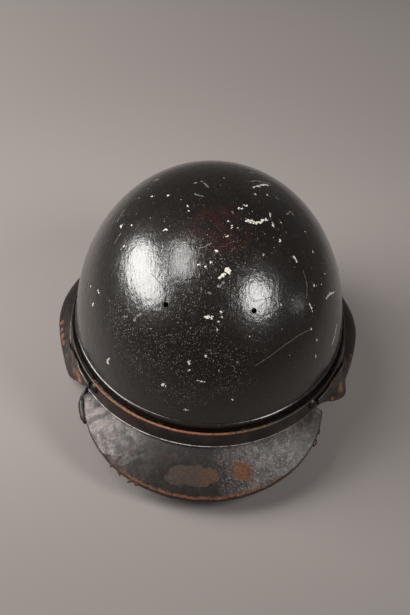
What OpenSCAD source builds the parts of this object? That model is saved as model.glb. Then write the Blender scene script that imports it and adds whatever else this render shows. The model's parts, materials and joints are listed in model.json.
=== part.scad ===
// Police motorcyclist's helmet with a lacquered shell, a leather peak, a leather band round the rim,
// a hanging curtain of two ear flaps and a neck flap, a riveted chin strap and a laced leather liner.
// Sizes are in millimetres. The wearer looks along -Y, so the wearer's left is +X. The helmet stands
// on the bottom edge of its curtain, and Z is the height above the surface that it stands on.

/* [Shell] */
// Outside width of the shell at its rim
shell_w = 230; // [215:1:245]
// Outside length of the shell at its rim
shell_l = 258; // [240:1:275]
// Height of the crown above the rim
shell_h = 130; // [120:1:145]
// Wall of the shell
shell_wall = 2.6; // [2:0.1:3.2]
// Depth of the shell's skirt below the rim, hidden behind the band
skirt_h = 20; // [17:1:21]
// Height of the rim above the surface that the helmet stands on
rim_z = 70; // [66:1:80]
// How full the dome is: 2 is an ellipsoid, and more is squarer
dome_power = 2.1; // [2:0.05:2.4]

/* [Badge holes] */
// Diameter of each of the two empty badge holes
badge_hole_d = 4.4; // [3:0.1:6]
// Distance between the two holes
badge_hole_spacing = 69.4; // [40:0.2:80]
// Height of the holes above the rim
badge_hole_rise = 91; // [60:1:98]

/* [Rim bead and band] */
// Height of the half-round bead on the rim
bead_h = 2.6; // [2:0.1:4]
// How far the bead stands out
bead_out = 1.3; // [0.8:0.1:2]
// Top of the leather band below the rim
band_drop = 7; // [4:0.5:8]
// Height of the band
band_h = 14.5; // [13:0.5:18]
// Thickness of the band
band_wall = 2.2; // [1.6:0.1:2.6]
// How much further out the band's bottom stands than its top
band_flare = 0.8; // [0:0.1:2]

/* [Peak] */
// Half width of the peak at the temples
peak_half_w = 100; // [97:1:106]
// Reach of the peak in front of the temples
peak_reach = 82; // [74:1:90]
// Temples in front of the shell's middle
temple_y = 85; // [84:1:88]
// Fall of the peak's outer edge at the temples, below the band
peak_side_fall = 2.5; // [1:0.5:4]
// Fall of the peak's outer edge in the middle, below the temples
peak_front_fall = 28.7; // [18:0.1:36]
// Height of the crown of the peak above a straight fall
peak_camber = 3; // [0:0.5:5]
// Thickness of the peak's top leather, measured upright
peak_top_wall = 2.4; // [1.8:0.1:3]
// Thickness of the peak's lining leather, measured upright
peak_lining_wall = 1.6; // [1:0.1:2.4]

/* [Curtain] */
// Thickness of the curtain's outer leather
curtain_wall = 2; // [1.4:0.1:2.4]
// Thickness of the curtain's felt lining
felt_wall = 1.4; // [1:0.1:2]
// How far the ear flaps bulge out at the wearer's sides
ear_bulge = 20.5; // [12:0.5:24]
// How far the neck flap bulges out at the back
neck_bulge = 12.7; // [8:0.1:16]
// Depth of the curtain at its front edges, from where it falls to its full depth
front_depth = 4; // [3:0.5:12]
// Angle of the front edge of the curtain, from the wearer's side towards the front
front_angle = 37; // [36:0.5:39]
// Angle of the slit between ear flap and neck flap, from the wearer's side towards the back
slit_angle = 43; // [35:1:50]
// Width of the slit, as an angle
slit_open = 2; // [1.5:0.1:4]
// Diameter of each hearing hole in the ear flaps
ear_hole_d = 4; // [2.5:0.1:5]
// Diameter of the ring that the hearing holes stand on
ear_ring_d = 20; // [16:1:24]

/* [Chin strap] */
// Width of the strap
strap_w = 16; // [13:0.5:18]
// Thickness of the strap
strap_wall = 2.6; // [2:0.1:3]
// Slope of the long half, as it lies tucked behind the ear flap
long_slope = 18.5; // [17:0.5:19.5]
// Length of the long half from its rivet to its tip
long_length = 152; // [140:1:156]
// Slope of the buckle half
short_slope = 23.5; // [20:0.5:24]
// Diameter of the holes in the long half
strap_hole_d = 3.2; // [2.6:0.1:4]
// Distance from one strap hole to the next
strap_hole_pitch = 11; // [9:0.5:12]
// Number of strap holes
strap_hole_count = 6; // [3:1:7]
// Diameter of the strap rivet's shank
rivet_shank_d = 4; // [3.2:0.1:4.4]
// Diameter of the strap rivet's domed head
rivet_head_d = 10; // [8:0.5:12]
// Depth of the strap rivet below the rim
rivet_drop = 12; // [11:0.5:13]

/* [Buckle] */
// Diameter of the buckle's wire
buckle_wire_d = 2.6; // [2:0.1:3]
// Length of the buckle between bar centres
buckle_len = 20; // [16:0.5:22]
// Diameter of the prong
prong_d = 1.9; // [1.4:0.1:2.4]
// Length of the keeper loop along the strap
keeper_len = 9; // [6:0.5:12]
// Thickness of the keeper loop
keeper_wall = 1.4; // [1:0.1:2]

/* [Liner] */
// Space between the rim's outside and the headband frame
frame_inset = 12; // [11:0.5:14]
// Thickness of the headband frame
frame_wall = 1.2; // [0.8:0.1:1.6]
// Height of the headband frame
frame_h = 30; // [26:1:34]
// Thickness of the sweatband leather
sweat_wall = 1.8; // [1.4:0.1:2.4]
// Thickness of the liner's tongues
tongue_wall = 1.6; // [1.2:0.1:2]
// Number of tongues
tongue_count = 8; // [6:1:10]
// Radius of the lace ring at the crown
lace_r = 30; // [24:1:36]
// Diameter of the lace
lace_d = 2.6; // [2:0.1:3]
// Space between the lace ring and the top of the shell
crown_gap = 32; // [28:1:38]
// Width of each cork spacer between shell and frame
spacer_w = 26; // [20:1:32]
// Thickness of the felt pad in the crown
pad_wall = 7; // [4:0.5:9]

/* [Hidden] */

// Steps round a full oval, and rings from the rim to the crown
oval_steps = 72;
dome_rings = 12;
// Steps along a flap and down it
flap_steps = 18;
flap_rows = 10;
// Steps round the peak and out along it
peak_steps = 32;
peak_rows = 5;
// Steps round the curtain's heading and each spacer, and along the two halves of the strap
heading_steps = 52;
spacer_steps = 6;
short_steps = 18;
long_steps = 22;

// Sides of round holes and rivets: fine for what shows, plain for what hides
fine = 48;
plain = 24;
// Length of a cutter that goes right through a wall
through = 60;

// Clearances: pieces that are sewn or riveted together, pieces that slide or turn, and flex lines
seat_gap = 0.2;
run_gap = 0.1;
loose_gap = 0.5;
flex_gap = 0.5;

half_w = shell_w / 2;
half_l = shell_l / 2;
stitch_margin = 2.2;
heading_wall = stitch_margin - seat_gap;
band_in = stitch_margin + seat_gap;
band_bottom = -band_drop - band_h;
heading_inset = 2;
heading_top = -band_drop - heading_inset;
heading_bottom = band_bottom + seat_gap;
curtain_top = band_bottom - flex_gap;
curtain_out = stitch_margin;
curtain_drop = rim_z + curtain_top;
curtain_reach = half_l + curtain_out + neck_bulge;
peak_tip = temple_y + peak_reach;
// The origin lies under the middle of the helmet's length, so the shell stands a little behind it
centre_y = (peak_tip - curtain_reach) / 2;

// Gap between the peak and the ear flap at the temple, and the rivet's distance behind it, as angles
peak_gap_angle = 0.8;
rivet_inset = 3;
rivet_t = -front_angle - peak_gap_angle - rivet_inset;
strap_mid = -shell_wall - run_gap - loose_gap - strap_wall / 2;
strap_radius = sqrt((half_w * half_w + half_l * half_l) / 2) + strap_mid;
short_run = -strap_radius * rivet_t * PI / 180;
short_length = short_run / cos(short_slope);
// The keeper's place as a share of the short half, and the leather round the buckle's bar
keeper_share = 0.62;
keeper_at = keeper_share * short_length;
roll_wall = 2;
roll_r = buckle_wire_d / 2 + run_gap + roll_wall;
bar_at = 4;
bar_half = strap_w / 2 + 1 + buckle_wire_d / 2;
wire_bend = 1.4;
hub_side = 0.7;
slot_side = 1.7;
// How far the prong's slot runs back along the strap, so that the prong can lie right over
slot_back = 7;
prong_over = 1;
strap_tip_share = 0.22;
strap_tip_hole = 6;
rivet_head_h = 2.6;
rivet_tail_side = 1.3;
washer_wall = 1;
washer_d = 9.5;

frame_out = -frame_inset;
frame_in = frame_out - frame_wall;
frame_bottom = -frame_h / 2 - 2;
frame_top = frame_bottom + frame_h;
liner_head_h = 1.2;
liner_head_d = 6;
liner_shank_d = 3;
liner_rivet_z = -11;
spacer_angles = [-107, -73, 12, 60, 120, 168];
spacer_out = -shell_wall - loose_gap;
spacer_top = frame_top - 1;
spacer_bottom = frame_bottom + 1;
// The spacers lean in towards their tops, where the dome does
spacer_lean = 0.9;
lace_z = shell_h - crown_gap;
tunnel_wall = tongue_wall;
tunnel_r = lace_d / 2 + loose_gap / 2 + tunnel_wall;
tongue_out = frame_in - seat_gap;
tongue_seam = 9;
tongue_bottom = frame_top - tongue_seam;
sweat_out = tongue_out - tongue_wall - seat_gap;
sweat_in = sweat_out - sweat_wall;
sweat_rise = 8;
sweat_top = frame_top + sweat_rise;
sweat_lean = 3;
hem_over = 0.4;
tunnel_half_angle = 12;
// The lace's tunnel is this much wider than the tongue's end, on each side
tunnel_over = 0.7;
// The tongues' broad feet run to this share of their height, then narrow towards the lace
tongue_foot_share = 0.22;
tongue_waist = 0.8;
tongue_split = 1.2;
tongue_full = 0.8;
// Steps along a tongue, across it, round its tunnel for the lace and along that tunnel
tongue_rows = 8;
tongue_columns = 8;
tunnel_sides = 14;
tunnel_steps = 4;
// The pad covers the dome above this many of its rings
pad_first_ring = 9;
pad_taper = 0.96;
// Band joint rivets, and how far down the band each one sits
joint_shank_d = 2.4;
joint_head_d = 6;
joint_head_h = 1.5;
joint_drops = [0.3, 0.72];
// The curtain swells to this share of its depth, then draws in by a part of its bulge. Away from its
// front edges it needs these angles to reach its full bulge and its full depth.
bulge_share = 0.28;
bulge_draw_in = 0.35;
bulge_ramp = 60;
depth_ramp = 32.5;
// Hearing holes: angle behind the wearer's side, depth as a share of the curtain's, and their number
ear_angle = 4;
ear_hole_share = 0.5;
ear_ring_count = 6;
front_trim = 0.5;
// How far the peak's lining keeps from the edges of the peak, as a share
lining_inset = 0.03;

// Point of the oval that lies d outside the rim, at angle t and height z above the rim
function rim_point(d, t, z) = [(half_w + d) * cos(t), (half_l + d) * sin(t), z];

// Outward direction of the rim at angle t
function rim_normal(t) = let (n = [cos(t) / half_w, sin(t) / half_l, 0]) n / norm(n);

// Size and height of the dome at angle f above the rim, as shares of its half axes
function dome_share(f) = [pow(cos(f), 2 / dome_power), pow(sin(f), 2 / dome_power)];

// Oval of the dome at angle f, d outside the shell: half width, half length, height
function dome_oval(f, d) =
  let (s = dome_share(f)) [(half_w + d) * s[0], (half_l + d) * s[0], (shell_h + d) * s[1]];

// Ease from 0 at a to 1 at b
function ease(x, a, b) = let (u = min(1, max(0, (x - a) / (b - a)))) u * u * (3 - 2 * u);

function mix(a, b, u) = a * (1 - u) + b * u;

// A solid through a row of equal rings of points. With loop the last ring joins the first, and otherwise
// each end is closed by triangles between the two halves of its ring, which run side by side.
module loft(rings, loop = false) {
  count = len(rings);
  size = len(rings[0]);
  spans = loop ? count : count - 1;
  sides = [
    for (i = [0 : spans - 1], j = [0 : size - 1])
      let (
        a = i * size + j,
        b = i * size + (j + 1) % size,
        c = (i + 1) % count * size + (j + 1) % size,
        d = (i + 1) % count * size + j
      ) each [[a, b, c], [a, c, d]]
  ];
  cap = [
    for (j = [0 : floor((size - 3) / 2)])
      let (k = size - 1 - j) each j + 1 < k - 1 ? [[j, j + 1, k - 1], [j, k - 1, k]] : [[j, j + 1, k]]
  ];
  first = [for (f = cap) [f[2], f[1], f[0]]];
  last = [for (f = cap) [for (j = f) (count - 1) * size + j]];
  polyhedron([for (r = rings) each r], loop ? sides : concat(sides, first, last));
}

// Upright section of a hoop, from d = a to d = b outside the rim
function hoop(a, b, bottom, top) = [[a, top], [a, bottom], [b, bottom], [b, top]];

// A ring round the whole rim with the given section of [d, z] points
module rim_ring(section) {
  turn = 360 / oval_steps;
  loft([for (k = [0 : oval_steps - 1]) [for (p = section) rim_point(p[0], k * turn, p[1])]], true);
}

// Part of such a ring, from angle a to angle b
module rim_arc(section, a, b, steps) {
  loft([for (k = [0 : steps]) [for (p = section) rim_point(p[0], mix(a, b, k / steps), p[1])]]);
}

// A closed bowl between two stacks of ovals, each ended by a pole
module bowl(outer, outer_pole, inner, inner_pole) {
  n = oval_steps;
  tops = [len(outer), len(inner)];
  around = function(s, k) [s[0] * cos(k * 360 / n), s[1] * sin(k * 360 / n), s[2]];
  stack = function(ovals) [for (s = ovals, k = [0 : n - 1]) around(s, k)];
  points = concat(stack(outer), [[0, 0, outer_pole]], stack(inner), [[0, 0, inner_pole]]);
  start = tops[0] * n + 1;
  wall = function(first, rows) [
    for (i = [0 : rows - 2], k = [0 : n - 1])
      let (a = first + i * n + k, b = first + i * n + (k + 1) % n) each [[a, a + n, b + n], [a, b + n, b]]
  ];
  cap = function(first, rows) [
    for (k = [0 : n - 1])
      let (top = first + (rows - 1) * n) [top + k, top + n, top + (k + 1) % n]
  ];
  flip = function(faces) [for (f = faces) [f[0], f[2], f[1]]];
  foot = [for (k = [0 : n - 1]) let (m = (k + 1) % n) each [[k, m, start + m], [k, start + m, start + k]]];
  inside = concat(wall(start, tops[1]), cap(start, tops[1]));
  polyhedron(points, concat(wall(0, tops[0]), cap(0, tops[0]), flip(inside), foot));
}

// Turns children so that their Z axis points along direction v
module aim(v) {
  rotate([0, acos(v[2] / norm(v)), atan2(v[1], v[0])]) children();
}

// Puts children in the helmet's frame from the shell's own, whose origin is the middle of the rim
module stand() {
  translate([0, centre_y, rim_z]) children();
}

// Height of the dome's front surface: point and outward direction over a given x and z
function dome_spot(x, z) =
  let (
    share = pow(1 - pow(z / shell_h, dome_power), 1 / dome_power),
    y = -half_l * share * sqrt(1 - pow(x / (half_w * share), 2)),
    q = pow(x / half_w, 2) + pow(y / half_l, 2),
    g = pow(q, dome_power / 2 - 1)
  )
  [[x, y, z], [g * x / half_w ^ 2, g * y / half_l ^ 2, pow(z / shell_h, dome_power - 1) / shell_h]];

module badge_bores() {
  for (side = [-1, 1]) {
    spot = dome_spot(side * badge_hole_spacing / 2, badge_hole_rise);
    translate(spot[0]) aim(spot[1])
      cylinder(h = 6 * shell_wall, d = badge_hole_d, center = true, $fn = fine);
  }
}

// Where a strap rivet goes: side is 1 for the wearer's left and -1 for the right
module at_rivet(side) {
  p = rim_point(0, rivet_t, -rivet_drop);
  n = rim_normal(rivet_t);
  translate([side * p[0], p[1], p[2]]) aim([side * n[0], n[1], 0]) children();
}

module rivet_bores() {
  for (side = [-1, 1])
    at_rivet(side) cylinder(h = through, d = rivet_shank_d + 2 * run_gap, center = true, $fn = fine);
}

// The liner rivets' places, with Z pointing out of the shell
module at_liner_rivets() {
  for (t = spacer_angles)
    translate(rim_point(0, t, liner_rivet_z)) aim(rim_normal(t)) children();
}

module liner_rivet_bores() {
  at_liner_rivets() {
    cylinder(h = through, d = liner_shank_d + 2 * run_gap, center = true, $fn = plain);
    translate([0, 0, -liner_head_h]) cylinder(h = shell_wall, d = liner_head_d + 2 * run_gap, $fn = plain);
  }
}

module shell() {
  angles = [for (k = [0 : dome_rings - 1]) k * 90 / dome_rings];
  skirt = function(d) [half_w + d, half_l + d, -skirt_h];
  color("#17130f")
    difference() {
      bowl(
        concat([skirt(0)], [for (f = angles) dome_oval(f, 0)]), shell_h,
        concat([skirt(-shell_wall)], [for (f = angles) dome_oval(f, -shell_wall)]), shell_h - shell_wall
      );
      badge_bores();
      rivet_bores();
      liner_rivet_bores();
    }
}

module rim_bead() {
  seat = seat_gap / 4;
  color("#201c19")
    rim_ring([
      [seat, -bead_h / 2], [bead_out * 0.75, -bead_h * 0.4], [bead_out, 0], [bead_out * 0.75, bead_h * 0.4],
      [seat, bead_h / 2]
    ]);
}

module outer_band() {
  top = -band_drop;
  color("#1c1613")
    difference() {
      rim_ring([
        [band_in, top], [band_in + band_flare, band_bottom], [band_in + band_wall + band_flare, band_bottom],
        [band_in + band_wall, top]
      ]);
      rivet_bores();
      at_band_joint() cylinder(h = through, d = joint_shank_d + 2 * run_gap, center = true, $fn = plain);
    }
}

// The two rivets that close the band at the back, one above the other
module at_band_joint() {
  for (drop = joint_drops)
    translate([0, half_l + band_in + band_wall + band_flare * drop, -band_drop - drop * band_h])
      rotate([-90, 0, 0]) children();
}

module band_joint_rivets() {
  color("#8a6a3a")
    at_band_joint() {
      translate([0, 0, seat_gap / 2]) domed_head(joint_head_d, joint_head_h);
      translate([0, 0, -band_wall]) cylinder(h = band_wall + seat_gap, d = joint_shank_d, $fn = plain);
    }
}

// A low domed head, standing on Z = 0
module domed_head(d, h) {
  ball = (d * d / 4 + h * h) / (2 * h);
  intersection() {
    cylinder(h = h, d = d, $fn = fine);
    translate([0, 0, h - ball]) sphere(r = ball, $fn = fine);
  }
}

module curtain_heading() {
  color("#1c1613")
    difference() {
      rim_arc(
        hoop(seat_gap, seat_gap + heading_wall, heading_bottom, heading_top),
        -front_angle, 180 + front_angle, heading_steps
      );
      rivet_bores();
    }
}

// Peak surface: s runs from the wearer's right temple to the left, q from the band out to the edge
function peak_edge(s) =
  let (u = 180 * (1 - s))
  [peak_half_w * cos(u), -temple_y - peak_reach * sin(u),
    band_bottom - peak_side_fall - peak_front_fall * sin(u)];

peak_first = -front_angle - peak_gap_angle;
function peak_root(s) =
  rim_point(stitch_margin, mix(-180 - peak_first, peak_first, s), band_bottom - seat_gap);

// Point of the peak's upright strip, d outside the strip's face, in the line that runs out over the peak
function peak_strip(s, d, z) =
  let (
    root = peak_root(s),
    run = peak_edge(s) - root,
    flat = [run[0], run[1]] / norm([run[0], run[1]])
  )
  [root[0] + d * flat[0], root[1] + d * flat[1], z];

function peak_point(s, q, low) =
  let (lift = peak_camber * sin(180 * s) * 4 * q * (1 - q))
  mix(peak_root(s), peak_edge(s), q) + [0, 0, lift - low];

module peak_top() {
  rows = [for (k = [0 : peak_rows]) k / peak_rows];
  back = [for (k = [peak_rows : -1 : 0]) k / peak_rows];
  color("#2a2522")
    difference() {
      loft([
        for (k = [0 : peak_steps])
          let (s = k / peak_steps) concat(
            [for (q = back) peak_point(s, q, 0)],
            [peak_strip(s, 0, heading_top), peak_strip(s, -heading_wall, heading_top)],
            [peak_strip(s, -heading_wall, band_bottom - peak_top_wall)],
            [for (q = rows) peak_point(s, q, peak_top_wall)]
          )
      ]);
      rivet_bores();
    }
}

module peak_lining() {
  rows = [for (k = [0 : peak_rows]) mix(lining_inset, 1 - lining_inset, k / peak_rows)];
  back = [for (k = [peak_rows : -1 : 0]) rows[k]];
  top = peak_top_wall + seat_gap;
  color("#4a3a2c")
    loft([
      for (k = [0 : peak_steps])
        let (s = mix(lining_inset, 1 - lining_inset, k / peak_steps)) concat(
          [for (q = back) peak_point(s, q, top)], [for (q = rows) peak_point(s, q, top + peak_lining_wall)]
        )
    ]);
}

// Angle from the curtain's nearer front edge
function from_front(t) = min(t + front_angle, 180 + front_angle - t);

// Outside of the curtain: how far out it stands at angle t and share v of its depth
function curtain_offset(t, v) =
  let (
    swell = sin(90 * min(1, v / bulge_share)),
    draw = bulge_draw_in * pow(max(0, v - bulge_share) / (1 - bulge_share), 2)
  )
  curtain_out + mix(neck_bulge, ear_bulge, cos(t) ^ 2) * (swell - draw) * ease(from_front(t), 0, bulge_ramp);

function curtain_depth(t) = mix(front_depth, curtain_drop, ease(from_front(t), 0, depth_ramp));

function curtain_point(t, v, inset) =
  rim_point(curtain_offset(t, v) - inset, t, curtain_top - v * curtain_depth(t));

// A panel of the curtain between two angles, and between two depths under its outer face
module curtain_panel(a, b, inset, wall) {
  down = [for (k = [0 : flap_rows]) k / flap_rows];
  up = [for (k = [flap_rows : -1 : 0]) k / flap_rows];
  loft([
    for (k = [0 : flap_steps])
      let (t = mix(a, b, k / flap_steps)) concat(
        [for (v = down) curtain_point(t, v, inset + wall)], [for (v = up) curtain_point(t, v, inset)]
      )
  ]);
}

module ear_bores() {
  p = curtain_point(ear_angle, ear_hole_share, 0);
  translate([0, p[1], p[2]])
    rotate([0, 90, 0]) {
      cylinder(h = 2 * half_w, d = ear_hole_d, $fn = plain);
      for (k = [1 : ear_ring_count])
        rotate([0, 0, 360 / ear_ring_count * k]) translate([ear_ring_d / 2, 0, 0])
          cylinder(h = 2 * half_w, d = ear_hole_d, $fn = plain);
    }
}

module ear_panel(inset, wall) {
  difference() {
    curtain_panel(-front_angle + front_trim, slit_angle - slit_open / 2, inset, wall);
    ear_bores();
  }
}

module ear_flap() {
  color("#1a1512") ear_panel(0, curtain_wall);
}

module ear_lining() {
  color("#5a4c3c") ear_panel(curtain_wall + seat_gap, felt_wall);
}

module neck_panel(inset, wall) {
  curtain_panel(slit_angle + slit_open / 2, 180 - slit_angle - slit_open / 2, inset, wall);
}

module neck_flap() {
  color("#1a1512") neck_panel(0, curtain_wall);
}

module neck_lining() {
  color("#5a4c3c") neck_panel(curtain_wall + seat_gap, felt_wall);
}

module strap_rivet(side) {
  out = band_in + band_wall + band_flare * (rivet_drop - band_drop) / band_h;
  inner_end = strap_mid - strap_wall / 2 - loose_gap - washer_wall;
  color("#2b2a22")
    at_rivet(side) {
      translate([0, 0, out + seat_gap]) domed_head(rivet_head_d, rivet_head_h);
      translate([0, 0, inner_end])
        cylinder(h = out + 2 * seat_gap - inner_end, d = rivet_shank_d, $fn = fine);
      translate([0, 0, inner_end]) mirror([0, 0, 1])
        domed_head(rivet_shank_d + 2 * rivet_tail_side, rivet_tail_side);
    }
}

module rivet_washer(side) {
  color("#9a7b3c")
    at_rivet(side)
      translate([0, 0, strap_mid - strap_wall / 2 - loose_gap / 2 - washer_wall])
        difference() {
          cylinder(h = washer_wall, d = washer_d, $fn = fine);
          cylinder(h = 4 * washer_wall, d = rivet_shank_d + 2 * run_gap, center = true, $fn = fine);
        }
}

// Angle, middle, direction and width direction of a strap at distance s from its rivet
function strap_angle(s, slope) = rivet_t + s * cos(slope) / strap_radius * 180 / PI;
function strap_middle(s, slope) = rim_point(strap_mid, strap_angle(s, slope), -rivet_drop - s * sin(slope));
function strap_tangent(s, slope) =
  let (n = rim_normal(strap_angle(s, slope))) [-n[1] * cos(slope), n[0] * cos(slope), -sin(slope)];
function strap_across(s, slope) =
  let (n = rim_normal(strap_angle(s, slope))) [-n[1] * sin(slope), n[0] * sin(slope), cos(slope)];

// Section of a strap at s, with a half width that the end shapes narrow
function strap_ring(s, slope, half) =
  let (
    m = strap_middle(s, slope), w = strap_across(s, slope) * half,
    n = rim_normal(strap_angle(s, slope)) * strap_wall / 2
  )
  [m + w - n, m - w - n, m - w + n, m + w + n];

// A strap of the given length: a round tab behind the rivet, a run of even steps, and an end given as
// pairs of distance and half width
module strap_band(slope, length, steps, tip) {
  turn = 18;
  tab = [for (a = [turn / 2 : turn : 90]) [-strap_w / 2 * cos(a), strap_w / 2 * sin(a)]];
  body = [for (k = [0 : steps]) [length * k / steps, strap_w / 2]];
  loft([for (r = concat(tab, body, tip)) strap_ring(r[0], slope, r[1])]);
}

// Where the wearer's left strap ends: U runs on along the strap, W across it and N out of the helmet
module at_strap(s, slope) {
  m = strap_middle(s, slope);
  u = strap_tangent(s, slope);
  w = strap_across(s, slope);
  n = rim_normal(strap_angle(s, slope));
  multmatrix([[u[0], w[0], n[0], m[0]], [u[1], w[1], n[1], m[1]], [u[2], w[2], n[2], m[2]], [0, 0, 0, 1]])
    children();
}

module chin_strap_left() {
  slot_w = prong_d + 2 * slot_side;
  roll_w = strap_w - run_gap;
  join_wall = strap_wall - run_gap;
  color("#33261d")
    difference() {
      union() {
        strap_band(short_slope, short_length, short_steps, []);
        at_strap(short_length, short_slope) {
          translate([bar_at, 0, 0]) rotate([90, 0, 0])
            cylinder(h = roll_w, r = roll_r, center = true, $fn = fine);
          translate([-bar_at, -roll_w / 2, -join_wall / 2]) cube([2 * bar_at, roll_w, join_wall]);
        }
      }
      at_strap(short_length, short_slope) {
        translate([bar_at, 0, 0]) rotate([90, 0, 0])
          cylinder(h = 2 * strap_w, d = buckle_wire_d + 2 * run_gap, center = true, $fn = fine);
        translate([-slot_back, -slot_w / 2, -roll_r - 1])
          cube([slot_back + 2 * bar_at + roll_r, slot_w, 2 * roll_r + 2]);
      }
      at_rivet(1) cylinder(h = through, d = rivet_shank_d + 2 * run_gap, center = true, $fn = fine);
    }
}

module chin_strap_right() {
  body_end = long_length - strap_w;
  narrow = 1 - strap_tip_share;
  tip = [for (k = [0.25 : 0.25 : 1]) [body_end + strap_w * k, strap_w / 2 * (1 - narrow * k * sqrt(k))]];
  color("#33261d")
    mirror([1, 0, 0])
      difference() {
        strap_band(long_slope, body_end, long_steps, tip);
        for (k = [0 : strap_hole_count - 1])
          at_strap(body_end - strap_tip_hole - k * strap_hole_pitch, long_slope)
            cylinder(h = 4 * strap_wall, d = strap_hole_d, center = true, $fn = plain);
        at_rivet(1) cylinder(h = through, d = rivet_shank_d + 2 * run_gap, center = true, $fn = fine);
      }
}

module buckle_frame() {
  r = buckle_wire_d / 2;
  bend = r + wire_bend;
  color("#a58a52")
    at_strap(short_length, short_slope)
      translate([bar_at + buckle_len / 2, 0, 0])
        for (turn = [0, 180]) rotate([0, 0, turn]) {
          translate([buckle_len / 2, 0, 0]) rotate([90, 0, 0])
            cylinder(h = 2 * (bar_half - bend), r = r, center = true, $fn = plain);
          translate([0, bar_half, 0]) rotate([0, 90, 0])
            cylinder(h = buckle_len - 2 * bend, r = r, center = true, $fn = plain);
          for (side = [0, 1]) mirror([0, side, 0])
            translate([buckle_len / 2 - bend, bar_half - bend, 0])
              rotate_extrude(angle = 90, $fn = fine) translate([bend, 0]) circle(r = r, $fn = plain);
        }
}

module buckle_prong() {
  bar_r = buckle_wire_d / 2;
  lift = bar_r + run_gap + prong_d / 2;
  reach = buckle_len + bar_r + prong_over;
  color("#a58a52")
    at_strap(short_length, short_slope)
      translate([bar_at, 0, 0]) {
        rotate([90, 0, 0])
          difference() {
            cylinder(h = prong_d + 2 * hub_side, r = bar_r + run_gap + prong_d, center = true, $fn = plain);
            cylinder(h = 2 * strap_w, r = bar_r + run_gap, center = true, $fn = plain);
          }
        translate([0, 0, -lift]) rotate([0, 90, 0]) cylinder(h = reach, d = prong_d, $fn = plain);
        translate([reach, 0, -lift]) sphere(d = prong_d, $fn = plain);
      }
}

module keeper_loop() {
  hole = [strap_w + 2 * loose_gap, strap_wall + 2 * loose_gap];
  color("#33261d")
    at_strap(keeper_at, short_slope)
      difference() {
        cube([keeper_len, hole[0] + 2 * keeper_wall, hole[1] + 2 * keeper_wall], center = true);
        cube([2 * keeper_len, hole[0], hole[1]], center = true);
      }
}

module headband_frame() {
  color("#6b5236")
    difference() {
      rim_ring(hoop(frame_in, frame_out, frame_bottom, frame_top));
      at_liner_rivets() cylinder(h = through, d = liner_shank_d + 2 * run_gap, center = true, $fn = plain);
    }
}

module frame_spacers() {
  half = spacer_w / 2 / strap_radius * 180 / PI;
  inner = frame_out + seat_gap;
  section = [
    [inner, spacer_top], [inner, spacer_bottom], [spacer_out, spacer_bottom], [spacer_out, 0],
    [spacer_out - spacer_lean, spacer_top]
  ];
  color("#9c7248")
    difference() {
      for (t = spacer_angles) rim_arc(section, t - half, t + half, spacer_steps);
      at_liner_rivets() cylinder(h = through, d = liner_shank_d + 2 * run_gap, center = true, $fn = plain);
    }
}

module liner_rivets() {
  reach = -frame_in + seat_gap / 2;
  color("#8d8a80")
    at_liner_rivets() {
      translate([0, 0, -liner_head_h]) cylinder(h = liner_head_h, d = liner_head_d, $fn = plain);
      translate([0, 0, -reach]) cylinder(h = reach, d = liner_shank_d, $fn = plain);
      translate([0, 0, -reach]) mirror([0, 0, 1]) domed_head(liner_head_d, liner_head_h);
    }
}

module sweatband() {
  hem = frame_bottom - seat_gap;
  hem_out = frame_out + hem_over;
  color("#7a5230")
    rim_ring([
      [sweat_in - sweat_lean, sweat_top], [sweat_in, tongue_bottom], [sweat_in, hem - sweat_wall],
      [hem_out, hem - sweat_wall], [hem_out, hem], [sweat_out, hem], [sweat_out, tongue_bottom],
      [sweat_out - sweat_lean, sweat_top]
    ]);
}

// Liner: each tongue rises from inside the frame and bends over to the lace ring
function tongue_oval(w, d) =
  let (
    tip = lace_r + tunnel_r - tunnel_wall / 2, c = pow(cos(90 * w), tongue_full), s = sin(90 * w),
    foot_w = half_w + tongue_out, foot_l = half_l + tongue_out
  )
  [tip + (foot_w - tip) * c + d * c, tip + (foot_l - tip) * c + d * c,
    mix(tongue_bottom, lace_z + tongue_wall / 2, s) + d * s];

module tongue(t) {
  half_base = 180 / tongue_count - tongue_split;
  neck = function(w) (w - tongue_foot_share) / (1 - tongue_foot_share);
  spread = function(w) w < tongue_foot_share
    ? half_base
    : mix(half_base * tongue_waist, tunnel_half_angle, neck(w));
  row = function(w, d, way) [
    for (k = [0 : tongue_columns])
      let (o = tongue_oval(w, d), a = t + way * spread(w) * (2 * k / tongue_columns - 1))
        [o[0] * cos(a), o[1] * sin(a), o[2]]
  ];
  loft([
    for (k = [0 : tongue_rows])
      let (w = k / tongue_rows) concat(row(w, -tongue_wall, 1), row(w, 0, -1))
  ]);
  difference() {
    lace_rod(tunnel_r, t, tunnel_half_angle + tunnel_over);
    lace_rod(tunnel_r - tunnel_wall, t, tunnel_half_angle + 2 * tunnel_over);
  }
}

// Part of a round rod that follows the lace's ring, within half degrees to each side of angle t
module lace_rod(r, t, half) {
  loft([
    for (k = [0 : tunnel_steps])
      let (a = t + half * (2 * k / tunnel_steps - 1))
        [
          for (j = [0 : tunnel_sides - 1])
            let (b = 360 / tunnel_sides * j, out = lace_r + r * cos(b))
              [out * cos(a), out * sin(a), lace_z + r * sin(b)]
        ]
  ]);
}

module liner_tongues() {
  color("#8a5c36")
    for (k = [0 : tongue_count - 1]) tongue(180 / tongue_count + k * 360 / tongue_count);
}

module liner_lace() {
  color("#c9b893")
    translate([0, 0, lace_z])
      rotate_extrude($fn = 2 * fine) translate([lace_r, 0]) circle(d = lace_d, $fn = plain);
}

module crown_pad() {
  rings = [for (k = [pad_first_ring : dome_rings - 1]) k * 90 / dome_rings];
  gap = -shell_wall - seat_gap;
  top = [for (f = rings) dome_oval(f, gap)];
  under = [for (o = top) [o[0] * pad_taper, o[1] * pad_taper, o[2] - pad_wall]];
  color("#8c8577")
    bowl(top, shell_h + gap, under, shell_h + gap - pad_wall);
}

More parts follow.
